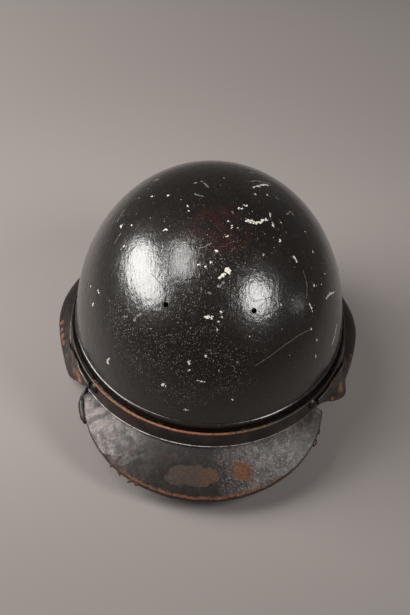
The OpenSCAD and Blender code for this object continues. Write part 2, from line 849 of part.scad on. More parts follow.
stand() shell();
stand() rim_bead();
stand() outer_band();
stand() band_joint_rivets();
stand() curtain_heading();
stand() peak_top();
stand() peak_lining();
stand() strap_rivet(1);  // strap_rivet_left
stand() strap_rivet(-1);  // strap_rivet_right
stand() rivet_washer(1);  // rivet_washer_left
stand() rivet_washer(-1);  // rivet_washer_right
stand() headband_frame();
stand() frame_spacers();
stand() liner_rivets();
stand() liner_tongues();
stand() liner_lace();
stand() sweatband();
stand() crown_pad();
stand() ear_flap();  // ear_flap_left
stand() ear_lining();  // ear_lining_left
stand() mirror([1, 0, 0]) ear_flap();  // ear_flap_right
stand() mirror([1, 0, 0]) ear_lining();  // ear_lining_right
stand() neck_flap();
stand() neck_lining();
stand() chin_strap_left();
stand() chin_strap_right();
stand() buckle_frame();
stand() buckle_prong();
stand() keeper_loop();
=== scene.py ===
"""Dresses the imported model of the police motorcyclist's helmet and lights it as in the photograph.

Lengths are in metres, unless a name ends in _mm. Angles round the rim are in degrees, from the wearer's
left side towards the back, and the wearer looks along -Y.
"""
import json
import math
import random

import bmesh
import bpy
from mathutils import Matrix, Vector, noise
from mathutils.bvhtree import BVHTree


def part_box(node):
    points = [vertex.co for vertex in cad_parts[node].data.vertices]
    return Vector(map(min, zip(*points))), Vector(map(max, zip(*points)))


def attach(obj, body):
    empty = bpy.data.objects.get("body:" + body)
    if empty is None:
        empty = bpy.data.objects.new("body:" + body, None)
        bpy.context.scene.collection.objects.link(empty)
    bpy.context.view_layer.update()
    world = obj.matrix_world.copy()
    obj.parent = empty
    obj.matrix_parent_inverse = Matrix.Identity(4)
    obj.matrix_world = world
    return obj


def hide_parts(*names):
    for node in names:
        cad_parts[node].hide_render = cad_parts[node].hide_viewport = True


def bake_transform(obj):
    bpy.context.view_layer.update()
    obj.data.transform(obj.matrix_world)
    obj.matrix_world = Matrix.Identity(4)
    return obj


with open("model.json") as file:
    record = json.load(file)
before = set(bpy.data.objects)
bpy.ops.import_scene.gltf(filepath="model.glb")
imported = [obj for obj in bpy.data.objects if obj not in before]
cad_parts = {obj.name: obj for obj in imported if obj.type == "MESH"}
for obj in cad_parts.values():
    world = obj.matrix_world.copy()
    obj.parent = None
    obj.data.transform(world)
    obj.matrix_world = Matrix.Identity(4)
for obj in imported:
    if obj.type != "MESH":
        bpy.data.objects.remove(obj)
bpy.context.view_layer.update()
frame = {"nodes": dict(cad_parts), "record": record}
nodes = frame["nodes"]

# Sizes that come from the frame
shell_low, shell_high = (Vector(v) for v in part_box("shell"))
bead_low, bead_high = (Vector(v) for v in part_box("rim_bead"))
band_low, band_high = (Vector(v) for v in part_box("outer_band"))
lace_low, lace_high = (Vector(v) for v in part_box("liner_lace"))
HALF_W = (shell_high.x - shell_low.x) / 2
HALF_L = (shell_high.y - shell_low.y) / 2
CENTRE_Y = (shell_high.y + shell_low.y) / 2
RIM_Z = (bead_low.z + bead_high.z) / 2
DOME_H = shell_high.z - RIM_Z
SKIRT_H = RIM_Z - shell_low.z
BAND_TOP = band_high.z - RIM_Z
BAND_BOTTOM = band_low.z - RIM_Z
MM = 0.001

# The same shape values as the solids have, in metres
DOME_POWER = 2.1
SHELL_WALL = 2.6 * MM
BAND_IN = 2.4 * MM
BAND_WALL = 2.2 * MM
BAND_FLARE = 0.8 * MM
STITCH_MARGIN = 2.2 * MM
CURTAIN_TOP = BAND_BOTTOM - 0.5 * MM
CURTAIN_DROP = RIM_Z + CURTAIN_TOP
EAR_BULGE = 20.5 * MM
NECK_BULGE = 12.7 * MM
FRONT_DEPTH = 4 * MM
BULGE_SHARE = 0.28
BULGE_DRAW_IN = 0.35
BULGE_RAMP = 60.0
DEPTH_RAMP = 32.5
CURTAIN_WALL = 2.0 * MM
FELT_WALL = 1.4 * MM
FRONT_ANGLE = 37.0
SLIT_ANGLE = 43.0
SLIT_OPEN = 2.0
PEAK_FIRST = -37.8
RIVET_T = -40.8
RIVET_DROP = 12 * MM
TEMPLE_Y = 85 * MM
PEAK_HALF_W = 100 * MM
PEAK_REACH = 82 * MM
PEAK_SIDE_FALL = 2.5 * MM
PEAK_FRONT_FALL = 28.7 * MM
PEAK_CAMBER = 3 * MM
PEAK_WALL = 2.4 * MM
PEAK_LINING = 1.6 * MM
STRAP_W = 16 * MM
STRAP_WALL = 2.6 * MM
STRAP_MID = -SHELL_WALL - 0.6 * MM - STRAP_WALL / 2
STRAP_RADIUS = math.sqrt((HALF_W ** 2 + HALF_L ** 2) / 2) + STRAP_MID
SHORT_SLOPE = 23.5
LONG_SLOPE = 18.5
LONG_LENGTH = 152 * MM
FRAME_OUT = -12 * MM
FRAME_IN = FRAME_OUT - 1.2 * MM
FRAME_TOP = 13 * MM
FRAME_BOTTOM = -17 * MM
TONGUE_WALL = 1.6 * MM
TONGUE_OUT = FRAME_IN - 0.2 * MM
TONGUE_BOTTOM = FRAME_TOP - 9 * MM
TONGUES = 8
LACE_R = 30 * MM
LACE_Z = (lace_low.z + lace_high.z) / 2 - RIM_Z
TUNNEL_R = 3.15 * MM
SWEAT_WALL = 1.8 * MM


def cosd(a):
    return math.cos(math.radians(a))


def sind(a):
    return math.sin(math.radians(a))


def mix(a, b, u):
    return a * (1 - u) + b * u


def clamp(x):
    return max(0.0, min(1.0, x))


def ease(x, a, b):
    u = clamp((x - a) / (b - a))
    return u * u * (3 - 2 * u)


def rim_point(d, t, z):
    """The point d outside the rim's oval at angle t, at height z above the rim."""
    return Vector(((HALF_W + d) * cosd(t), CENTRE_Y + (HALF_L + d) * sind(t), RIM_Z + z))


def rim_normal(t):
    return Vector((cosd(t) / HALF_W, sind(t) / HALF_L, 0)).normalized()


def dome_point(t, f, d=0.0):
    """The point of the dome at angle t round and f up, d outside the shell."""
    across = cosd(f) ** (2 / DOME_POWER) if f < 90 else 0.0
    up = sind(f) ** (2 / DOME_POWER) if f > 0 else 0.0
    x = (HALF_W + d) * across * cosd(t)
    y = CENTRE_Y + (HALF_L + d) * across * sind(t)
    return Vector((x, y, RIM_Z + (DOME_H + d) * up))


def wobble(p, scale, seed):
    """Smooth noise from -1 to 1 at a point, with features of about scale metres."""
    return noise.noise(Vector(p) / scale + Vector((seed, seed * 1.7, seed * 2.3)))


# Meshes

def link(name, data):
    obj = bpy.data.objects.new(name, data)
    bpy.context.scene.collection.objects.link(obj)
    return obj


def raw_object(name, verts, faces):
    mesh = bpy.data.meshes.new(name)
    mesh.from_pydata([tuple(v) for v in verts], [], faces)
    return link(name, mesh)


def new_object(name, verts, faces):
    """A smooth closed object whose faces all look outwards."""
    obj = raw_object(name, verts, faces)
    mesh = obj.data
    mesh.validate()
    bm = bmesh.new()
    bm.from_mesh(mesh)
    bmesh.ops.recalc_face_normals(bm, faces=bm.faces)
    bm.to_mesh(mesh)
    bm.free()
    mesh.shade_smooth()
    return obj


def sharpen(obj, angle):
    obj.data.set_sharp_from_angle(angle=math.radians(angle))
    return obj


def add_field(obj, name, values):
    """Stores one number per vertex, which a material reads by its name."""
    layer = obj.data.attributes.new(name, "FLOAT", "POINT")
    layer.data.foreach_set("value", values)


def ring_faces(start, count, size, loop=False):
    """Faces between count rings of size vertices each, from vertex start on."""
    faces = []
    for i in range(count if loop else count - 1):
        a, b = start + i * size, start + (i + 1) % count * size
        for j in range(size):
            k = (j + 1) % size
            faces.append((a + j, a + k, b + k, b + j))
    return faces


def capped_faces(start, count, size):
    """The same, with a flat face over the first and the last ring."""
    caps = [tuple(range(ring, ring + size)) for ring in (start, start + (count - 1) * size)]
    return ring_faces(start, count, size) + caps


def loft(name, rings, loop=False):
    """A closed skin through equal rings of points."""
    count, size = len(rings), len(rings[0])
    faces = ring_faces(0, count, size, True) if loop else capped_faces(0, count, size)
    return new_object(name, [p for ring in rings for p in ring], faces)


def double_dome(name, *domes):
    """A wall between two domes, each given by its rings of points from the rim up and its top point."""
    verts, faces, starts = [], [], []
    for rings, top in domes:
        start, count, size = len(verts), len(rings), len(rings[0])
        starts.append(start)
        verts += [p for ring in rings for p in ring]
        verts.append(top)
        last = start + (count - 1) * size
        faces += ring_faces(start, count, size)
        faces += [(last + k, last + (k + 1) % size, last + size) for k in range(size)]
    for k in range(size):
        m = (k + 1) % size
        faces.append((k, m, starts[1] + m, starts[1] + k))
    return new_object(name, verts, faces)


ROUND_SHARES = (0.15, 0.5, 0.85)


def sheet(name, point, steps_u, steps_v, wall, side, borders, fade_mm):
    """Leather over the surface point(u, v), where u and v run from 0 to 1.

    The outer face lies on the surface and the inner one lies wall behind it, which may be a function of u
    and v. The edges are round. The material gets the fields u and edge. The last is 1 on the borders
    named (u where u = 0, U where u = 1, v and V likewise) and fades to 0 within fade_mm.
    """
    thick = wall if callable(wall) else (lambda u, v: wall)
    us = [i / steps_u for i in range(steps_u + 1)]
    vs = [j / steps_v for j in range(steps_v + 1)]
    rows, columns = range(steps_u + 1), range(steps_v + 1)
    grid = [[point(u, v) for v in vs] for u in us]

    def depth(i, j):
        a = grid[min(i + 1, steps_u)][j] - grid[max(i - 1, 0)][j]
        b = grid[i][min(j + 1, steps_v)] - grid[i][max(j - 1, 0)]
        return a.cross(b).normalized() * side * thick(us[i], vs[j])

    depths = [[depth(i, j) for j in columns] for i in rows]
    places = [(i, j) for _ in range(2) for i in rows for j in columns]
    size = steps_v + 1
    half = len(places) // 2
    verts = [grid[i][j] for i, j in places[:half]] + [grid[i][j] - depths[i][j] for i, j in places[half:]]
    faces = []
    for i in range(steps_u):
        for j in range(steps_v):
            a = i * size + j
            faces.append((a, a + 1, a + size + 1, a + size))
            faces.append((half + a, half + a + size, half + a + size + 1, half + a + 1))
    border = [(i, 0) for i in range(steps_u)] + [(steps_u, j) for j in range(steps_v)]
    border += [(i, steps_v) for i in range(steps_u, 0, -1)] + [(0, j) for j in range(steps_v, 0, -1)]
    chains = []
    for i, j in border:
        inward = Vector((0, 0, 0))
        for at_end, m, n in ((i == 0, 1, j), (i == steps_u, -2, j), (j == 0, i, 1), (j == steps_v, i, -2)):
            if at_end:
                inward += (grid[m][n] - grid[i][j]).normalized()
        chain = [i * size + j]
        for share in ROUND_SHARES:
            bow = math.sqrt(1 - (2 * share - 1) ** 2)
            out = inward.normalized() * thick(us[i], vs[j]) / 2 * bow
            chain.append(len(verts))
            verts.append(grid[i][j] - depths[i][j] * share - out)
            places.append((i, j))
        chains.append(chain + [half + i * size + j])
    for chain, after in zip(chains, chains[1:] + chains[:1]):
        for s in range(len(chain) - 1):
            faces.append((chain[s], chain[s + 1], after[s + 1], after[s]))

    lines = {"u": [[(i, j) for i in rows] for j in columns], "v": [[(i, j) for j in columns] for i in rows]}
    far = {place: 1.0 for place in places}
    for letter in borders:
        for line in lines[letter.lower()]:
            travelled, last = 0.0, None
            for i, j in line if letter.islower() else reversed(line):
                travelled += 0.0 if last is None else (grid[i][j] - last).length
                last = grid[i][j]
                far[i, j] = min(far[i, j], travelled)
    obj = new_object(name, verts, faces)
    add_field(obj, "u", [us[i] for i, j in places])
    add_field(obj, "edge", [clamp(1 - far[place] / (fade_mm * MM)) for place in places])
    return obj


def ring_piece(name, section, steps, first=0.0, last=360.0, sway=None):
    """A closed section of (d, z) points swept round the rim. sway(t) gives a small (d, z) shift."""
    rings = []
    whole = last - first >= 360
    for k in range(steps if whole else steps + 1):
        t = first + (last - first) * k / steps
        dd, dz = sway(t) if sway else (0.0, 0.0)
        rings.append([rim_point(d + dd, t, z + dz) for d, z in section])
    return loft(name, rings, loop=whole)


def arc(x, z, r, first, last, steps):
    """Points of an arc about (x, z), from one angle to another."""
    angles = [first + (last - first) * k / steps for k in range(steps + 1)]
    return [(x + r * cosd(a), z + r * sind(a)) for a in angles]


def rounded_box(a, b, low, high, r, steps=4):
    """Section points of an upright strip from d = a to b and z = low to high, with round corners."""
    r = min(r, abs(b - a) / 2.01, (high - low) / 2.01)
    corners = ((b - r, high - r, 0), (a + r, high - r, 90), (a + r, low + r, 180), (b - r, low + r, 270))
    return [p for x, z, start in corners for p in arc(x, z, r, start, start + 90, steps)]


def tube(name, path, radius, sides, closed=False):
    """A round tube through the given points."""
    rings = []
    n = len(path)
    for k, p in enumerate(path):
        a = path[(k - 1) % n] if closed or k else p
        b = path[(k + 1) % n] if closed or k < n - 1 else p
        along = (b - a).normalized()
        side = along.cross(Vector((0, 0, 1)))
        side = side.normalized() if side.length > 1e-6 else Vector((1, 0, 0))
        up = side.cross(along)
        angles = [360 * j / sides for j in range(sides)]
        rings.append([p + (side * cosd(a) + up * sind(a)) * radius for a in angles])
    return loft(name, rings, loop=closed)


STITCH_SINK = 0.1 * MM
# The pitch, length and thread radius of each kind of row, in millimetres
FLAP_ROW = (3.6, 2.6, 0.40)
TONGUE_ROW = (3.0, 2.2, 0.36)
SWEAT_ROW = (3.4, 2.5, 0.38)
STRAP_ROW = (3.2, 2.3, 0.33)


def stitches(name, path, outs, pitch_mm, length_mm, radius_mm):
    """A row of thread stitches along a path of points, with the direction out of the leather at each."""
    verts, faces = [], []
    pitch, half, radius = pitch_mm * MM, length_mm * MM / 2, radius_mm * MM
    rows, sides = 5, 6
    travelled = pitch / 2
    for a, b, out in zip(path, path[1:], outs):
        step = (b - a).length
        along = (b - a).normalized()
        n = out.normalized()
        side = along.cross(n).normalized()
        while travelled < step:
            middle = a.lerp(b, travelled / step)
            faces += capped_faces(len(verts), rows, sides)
            for i in range(rows):
                w = -1 + 2 * i / (rows - 1)
                r = radius * math.sqrt(max(0.08, 1 - w * w * 0.92))
                sunk = n * (radius * 0.35 - STITCH_SINK - abs(w) ** 3 * radius * 0.7)
                for j in range(sides):
                    turn = 360 * j / sides
                    spoke = side * cosd(turn) + n * sind(turn)
                    verts.append(middle + along * half * w + sunk + spoke * r)
            travelled += pitch
        travelled -= step
    return new_object(name, verts, faces)


def cut(obj, cutters):
    """Cuts the cutters out of obj and deletes them."""
    for cutter in cutters:
        modifier = obj.modifiers.new("cut", "BOOLEAN")
        modifier.operation = "DIFFERENCE"
        modifier.solver = "EXACT"
        modifier.object = cutter
        graph = bpy.context.evaluated_depsgraph_get()
        old = obj.data
        obj.data = bpy.data.meshes.new_from_object(obj.evaluated_get(graph))
        obj.modifiers.remove(modifier)
        bpy.data.meshes.remove(old)
        bpy.data.objects.remove(cutter)


def cutter(build, **settings):
    """An object of what a bmesh operator makes."""
    bm = bmesh.new()
    build(bm, **settings)
    mesh = bpy.data.meshes.new("cutter")
    bm.to_mesh(mesh)
    bm.free()
    return link("cutter", mesh)


def rod(centre, axis, radius, length, sides=48):
    """A plain round cutter."""
    place = Matrix.Translation(centre) @ axis.normalized().to_track_quat("Z", "Y").to_matrix().to_4x4()
    return cutter(
        bmesh.ops.create_cone, cap_ends=True, segments=sides, radius1=radius, radius2=radius, depth=length,
        matrix=place)


# Materials

DOT_SHARE = 0.55


class Paint:
    """A node material built up from small steps."""

    def __init__(self, name):
        self.material = bpy.data.materials.new(name)
        self.material.use_nodes = True
        self.tree = self.material.node_tree
        self.shader = self.tree.nodes["Principled BSDF"]
        self.place = self.tree.nodes.new("ShaderNodeTexCoord").outputs["Object"]

    def put(self, socket, value):
        """Links another socket to this one or sets its value."""
        if isinstance(value, bpy.types.NodeSocket):
            self.tree.links.new(value, socket)
        elif socket.type == "RGBA":
            socket.default_value = (*value, 1)
        else:
            socket.default_value = value

    def node(self, kind, inputs, **settings):
        n = self.tree.nodes.new("ShaderNode" + kind)
        for key, value in settings.items():
            setattr(n, key, value)
        for key, value in inputs.items():
            self.put(n.inputs[key], value)
        return n

    def stretch(self, scale, turn):
        return self.node("Mapping", {"Vector": self.place, "Scale": scale, "Rotation": turn}).outputs[0]

    def noise(self, size_mm, detail, rough, warp=0.0, place=None):
        inputs = {"Vector": place or self.place, "Scale": 1 / (size_mm * MM), "Detail": detail}
        inputs.update({"Roughness": rough, "Distortion": warp})
        return self.node("TexNoise", inputs).outputs["Fac"]

    def voronoi(self, size_mm, output, feature="F1"):
        inputs = {"Vector": self.place, "Scale": 1 / (size_mm * MM)}
        return self.node("TexVoronoi", inputs, feature=feature).outputs[output]

    def seams(self, size_mm):
        return self.voronoi(size_mm, "Distance", "DISTANCE_TO_EDGE")

    def cell_value(self, size_mm):
        return self.node("SeparateColor", {"Color": self.voronoi(size_mm, "Color")}).outputs[0]

    def axes(self):
        return self.node("SeparateXYZ", {0: self.place}).outputs[:2]

    def field(self, name):
        return self.node("Attribute", {}, attribute_name=name).outputs["Fac"]

    def math(self, operation, *values, clamped=False):
        """Joins the values one after another. clamped holds the result between 0 and 1."""
        result = values[0]
        for value in values[1:] or (0.0,):
            n = self.node("Math", {0: result, 1: value}, operation=operation)
            result = n.outputs[0]
        n.use_clamp = clamped
        return result

    def times(self, *values, clamped=False):
        return self.math("MULTIPLY", *values, clamped=clamped)

    def plus(self, *values, clamped=False):
        return self.math("ADD", *values, clamped=clamped)

    def most(self, *values):
        return self.math("MAXIMUM", *values)

    def span(self, value, low, high, to_low=0.0, to_high=1.0, smooth=True):
        """Maps low..high to to_low..to_high and holds the ends."""
        inputs = {"Value": value, "From Min": low, "From Max": high, "To Min": to_low, "To Max": to_high}
        kind = "SMOOTHSTEP" if smooth else "LINEAR"
        return self.node("MapRange", inputs, interpolation_type=kind).outputs[0]

    def mottle(self, size_mm, detail, rough, low, high, to_low=0.0, to_high=1.0, warp=0.0):
        """Noise mapped from low..high to to_low..to_high."""
        return self.span(self.noise(size_mm, detail, rough, warp), low, high, to_low, to_high)

    def ragged(self, value, size_mm, detail, low, high):
        """The value with noise from low to high added."""
        return self.plus(value, self.span(self.noise(size_mm, detail, 0.7), 0.25, 0.75, low, high, False))

    def uneven(self, low, high, size_mm=4, detail=5):
        """A roughness that wanders between low and high."""
        return self.mottle(size_mm, detail, 0.6, 0.3, 0.7, low, high)

    def blend(self, factor, a, b):
        """Colour a where factor is 0 and b where it is 1."""
        return self.node("Mix", {0: factor, 6: a, 7: b}, data_type="RGBA").outputs[2]

    def tint(self, size_mm, detail, rough, low, high, a, b):
        """Colours a and b in blots of noise."""
        return self.blend(self.mottle(size_mm, detail, rough, low, high), a, b)

    def bump(self, height, distance_mm, strength, over=None):
        inputs = {"Height": height, "Distance": distance_mm * MM, "Strength": strength}
        if over is not None:
            inputs["Normal"] = over
        return self.node("Bump", inputs).outputs[0]

    def swell(self, size_mm, detail, rough, distance_mm, strength, over=None):
        return self.bump(self.noise(size_mm, detail, rough), distance_mm, strength, over)

    def grain(self, size_mm, depth_mm, over):
        """Leather grain: soft pebbles with fine wrinkles between them."""
        coarse = self.bump(self.span(self.seams(size_mm), 0.0, 0.35), depth_mm, 0.4, over)
        return self.bump(self.noise(size_mm * 0.6, 5, 0.65, 0.6), depth_mm * 0.8, 0.35, coarse)

    def near(self, spot, radius_mm, ragged_mm):
        """1 at a place of the object, 0 from radius_mm off it, with a ragged border."""
        far = self.node("VectorMath", {0: self.place, 1: spot}, operation="DISTANCE").outputs["Value"]
        far = self.ragged(far, radius_mm * 0.5, 6, -ragged_mm * MM, ragged_mm * MM)
        return self.span(far, radius_mm * MM, radius_mm * 0.55 * MM)

    def dots(self, size_mm, radius):
        """Fine specks, about size_mm apart, in a share of the places."""
        spot = self.span(self.voronoi(size_mm, "Distance"), radius * 0.7, radius, 1, 0)
        return self.times(spot, self.math("GREATER_THAN", self.cell_value(size_mm), 1 - DOT_SHARE))

    def done(self, colour, roughness, normal, **others):
        """Sets the shader's sockets. The others are named as the sockets are, in lower case."""
        self.put(self.shader.inputs["Base Color"], colour)
        self.put(self.shader.inputs["Roughness"], roughness)
        self.put(self.shader.inputs["Normal"], normal)
        for key, value in others.items():
            self.put(self.shader.inputs[key.replace("_", " ").title().replace("Ior", "IOR")], value)
        return self.material


def dress(obj, material):
    obj.data.materials.clear()
    obj.data.materials.append(material)
    return obj


RAW_LEATHER = (0.085, 0.028, 0.010)
RAW_PALE = (0.215, 0.085, 0.030)


def lacquer(maroon_spot, dust_spot):
    """Old black lacquer: brushed ripples, dull rubs and fine dust, over maroon that shows in one place."""
    p = Paint("lacquer")
    maroon = p.times(p.near(maroon_spot, 30, 9), p.mottle(10, 5, 0.6, 0.38, 0.62))
    black = p.blend(p.noise(30, 4, 0.6), (0.0040, 0.0026, 0.0019), (0.0062, 0.0040, 0.0030))
    colour = p.blend(maroon, black, (0.0150, 0.0046, 0.0034))
    dusty = p.mottle(26, 5, 0.6, 0.34, 0.62, 0.12, 1.0)
    dusty = p.times(dusty, p.span(p.near(dust_spot, 92, 14), 0, 1, 0.16, 1.0))
    dust = p.most(p.dots(1.9, 0.24), p.times(p.dots(1.1, 0.30), 0.55))
    colour = p.blend(p.times(dust, dusty, 0.62), colour, (0.25, 0.235, 0.21))
    colour = p.blend(p.times(p.mottle(8, 7, 0.75, 0.5, 0.8), 0.02), colour, (0.18, 0.16, 0.14))
    roughness = p.span(p.mottle(12, 6, 0.65, 0.48, 0.70), 0, 1, 0.34, 0.46)
    brush = p.noise(2.3, 4, 0.62, 0.4, p.stretch((1.0, 0.30, 0.42), (0.5, 0.25, 0.55)))
    patchy = p.times(brush, p.mottle(9, 4, 0.6, 0.30, 0.65, 0.45, 1.0))
    brushed = p.bump(patchy, 0.34, 0.75, p.swell(15, 2, 0.4, 0.28, 0.40))
    peel = p.swell(1.0, 3, 0.6, 0.06, 0.55, p.swell(4.5, 3, 0.55, 0.18, 0.55, brushed))
    return p.done(
        colour, roughness, peel, coat_normal=peel, specular_ior_level=0.16, coat_weight=1.0,
        coat_roughness=0.15, coat_ior=1.47)


def bead_paint():
    """The rim's bead: the same lacquer, rubbed brighter and chipped to bare brown along its crest."""
    p = Paint("bead lacquer")
    worn = p.times(p.mottle(9, 5, 0.7, 0.56, 0.66), 0.35)
    colour = p.blend(worn, (0.010, 0.009, 0.009), (0.11, 0.075, 0.05))
    normal = p.swell(3.0, 3, 0.5, 0.10, 0.5)
    return p.done(colour, p.uneven(0.16, 0.30, 6, 4), normal, specular_ior_level=0.55)


def dark_leather(name, edge_low, edge_high, wear):
    """Black-brown leather that is worn to raw orange-brown along its edges."""
    p = Paint(name)
    colour = p.tint(22, 5, 0.6, 0.35, 0.7, (0.0085, 0.0068, 0.0062), (0.030, 0.018, 0.013))
    scuff = p.times(p.mottle(7, 7, 0.72, 0.55, 0.74, warp=0.4), 0.22)
    colour = p.blend(scuff, colour, (0.10, 0.085, 0.075))
    bare = p.span(p.ragged(p.field("edge"), 6, 6, -wear, wear), edge_low, edge_high)
    raw = p.tint(2.2, 7, 0.75, 0.34, 0.66, RAW_LEATHER, RAW_PALE)
    colour = p.blend(p.times(bare, p.mottle(4, 6, 0.75, 0.32, 0.52, 0.35, 1.0)), colour, raw)
    roughness = p.plus(p.uneven(0.30, 0.46), p.times(bare, 0.32))
    normal = p.grain(1.2, 0.10, p.swell(12, 4, 0.5, 0.8, 0.35))
    return p.done(colour, roughness, normal, specular_ior_level=0.34)


def flap_leather(spots):
    """The curtain's leather: black-brown, paler where it is rubbed, raw at its edges and the given spots."""
    p = Paint("curtain leather")
    colour = p.tint(20, 5, 0.6, 0.35, 0.7, (0.0040, 0.0030, 0.0026), (0.0120, 0.0072, 0.0051))
    scuff = p.times(p.mottle(8, 7, 0.72, 0.55, 0.76, warp=0.4), 0.12)
    colour = p.blend(scuff, colour, (0.072, 0.062, 0.056))
    bare = p.span(p.ragged(p.field("edge"), 7, 6, -0.6, 0.35), 0.66, 1.05)
    for spot, radius_mm in spots:
        bare = p.most(bare, p.times(p.near(spot, radius_mm, radius_mm * 0.6), 0.85))
    raw = p.blend(p.noise(2.0, 6, 0.75), (0.050, 0.019, 0.009), RAW_PALE)
    colour = p.blend(p.times(bare, p.mottle(2.6, 5, 0.7, 0.30, 0.55, 0.25, 1.0)), colour, raw)
    roughness = p.plus(p.uneven(0.34, 0.50), p.times(bare, 0.28))
    normal = p.grain(1.1, 0.10, p.swell(11, 4, 0.5, 0.9, 0.45))
    return p.done(colour, roughness, normal, specular_ior_level=0.24)


def worn_lip(spots, gloss):
    """Handled dark leather, brown in its folds and raw at the given spots."""
    p = Paint("lip leather")
    colour = p.tint(11, 6, 0.65, 0.35, 0.68, (0.0060, 0.0046, 0.0040), (0.026, 0.0145, 0.0095))
    rub = p.span(p.ragged(p.field("edge"), 3, 6, -0.5, 0.3), 0.7, 1.2)
    colour = p.blend(p.times(rub, 0.55), colour, (0.070, 0.040, 0.024))
    if spots:
        bare = p.most(0.0, *(p.near(spot, radius_mm, radius_mm * 0.8) for spot, radius_mm in spots))
        raw = p.tint(1.8, 7, 0.78, 0.32, 0.68, (0.030, 0.010, 0.005), RAW_PALE)
        colour = p.blend(p.times(bare, p.mottle(3, 6, 0.75, 0.34, 0.52, 0.2, 1.0)), colour, raw)
    normal = p.grain(1.1, 0.10, p.swell(8, 5, 0.6, 0.9, 0.5))
    return p.done(colour, p.uneven(0.28, 0.46), normal, specular_ior_level=gloss)


def piping_painted_highlight():
    """The band's rolled foot, with a painted highlight: a thin pale line, brightest at the front."""
    p = Paint("piping with painted highlight")
    # The rub field and the pale grey are a painted highlight along the piping.
    rub = p.times(p.field("rub"), p.mottle(5, 6, 0.75, 0.36, 0.60, 0.10, 1.0))
    colour = p.blend(rub, (0.010, 0.008, 0.007), (0.30, 0.28, 0.26))
    return p.done(colour, p.uneven(0.30, 0.45, 4, 4), p.swell(1.0, 4, 0.6, 0.05, 0.4))


STAIN = (0.05, 0.028, 0.016)


def plain_leather(name, dark, light, roughness=(0.5, 0.72)):
    """Undyed or dyed leather with stains, rubbed lights and darkened edges."""
    p = Paint(name)
    colour = p.tint(14, 6, 0.6, 0.3, 0.7, dark, light)
    colour = p.blend(p.times(p.mottle(26, 5, 0.6, 0.52, 0.72, warp=0.5), 0.6), colour, STAIN)
    colour = p.blend(p.times(p.field("edge"), 0.55), colour, STAIN)
    return p.done(colour, p.uneven(*roughness, 5), p.grain(1.1, 0.14, p.swell(8, 4, 0.5, 0.5, 0.3)))


def felt():
    p = Paint("felt")
    fuzz = p.noise(0.9, 8, 0.8, 1.2)
    clumps = p.noise(7, 5, 0.65, 0.6)
    colour = p.blend(p.span(fuzz, 0.3, 0.7), (0.075, 0.058, 0.042), (0.21, 0.165, 0.12))
    colour = p.blend(p.span(clumps, 0.5, 0.75, 0, 0.5), colour, (0.055, 0.042, 0.03))
    normal = p.bump(fuzz, 0.5, 0.7, p.bump(clumps, 1.0, 0.4))
    return p.done(colour, 0.92, normal, sheen_weight=0.35, sheen_roughness=0.6)


def cork():
    p = Paint("cork")
    seams = p.span(p.seams(2.6), 0.0, 0.12, 1, 0)
    colour = p.blend(p.cell_value(2.6), (0.20, 0.105, 0.045), (0.42, 0.25, 0.12))
    colour = p.blend(p.times(seams, 0.7), colour, (0.06, 0.03, 0.015))
    colour = p.tint(1.4, 4, 0.7, 0.6, 0.7, colour, (0.05, 0.025, 0.012))
    return p.done(colour, 0.85, p.bump(seams, 0.5, -0.6, p.swell(1.0, 5, 0.7, 0.3, 0.4)))


def cord_paint():
    p = Paint("waxed cord")
    inputs = {"Vector": p.place, "Scale": 420.0, "Distortion": 1.5, "Detail": 2.0}
    twist = p.node("TexWave", inputs).outputs["Fac"]
    colour = p.blend(twist, (0.16, 0.11, 0.06), (0.42, 0.33, 0.21))
    colour = p.blend(p.mottle(12, 4, 0.6, 0.5, 0.7, 0, 0.6), colour, (0.07, 0.05, 0.03))
    return p.done(colour, 0.8, p.bump(twist, 0.35, 0.7))


def metal(name, clean, tarnish, roughness, cover=(0.4, 0.65)):
    """Old metal: a tarnish in blotches, fine scratches and a grimy bloom."""
    p = Paint(name)
    film = p.mottle(3.5, 6, 0.7, *cover, warp=0.4)
    bloom = tuple(c * k for c, k in zip(tarnish, (0.6, 1.15, 0.95)))
    colour = p.blend(p.mottle(1.8, 5, 0.7, 0.6, 0.72, 0, 0.6), p.blend(film, clean, tarnish), bloom)
    lines = p.noise(0.8, 3, 0.6, 0.0, p.stretch((1, 1, 12), (0.4, 0.9, 0.2)))
    rough = p.plus(p.span(film, 0, 1, *roughness), p.span(lines, 0.3, 0.7, -0.04, 0.06), clamped=True)
    return p.done(colour, rough, p.bump(lines, 0.03, 0.5, p.swell(1.6, 5, 0.6, 0.12, 0.4)), metallic=1.0)


def dull_paint(name, dark, light, mottle, roughness, fuzz):
    """Thread, bared ground or torn fibre: two colours in fine noise and a fuzzy surface."""
    p = Paint(name)
    return p.done(p.blend(p.noise(*mottle), dark, light), roughness, p.swell(*fuzz))


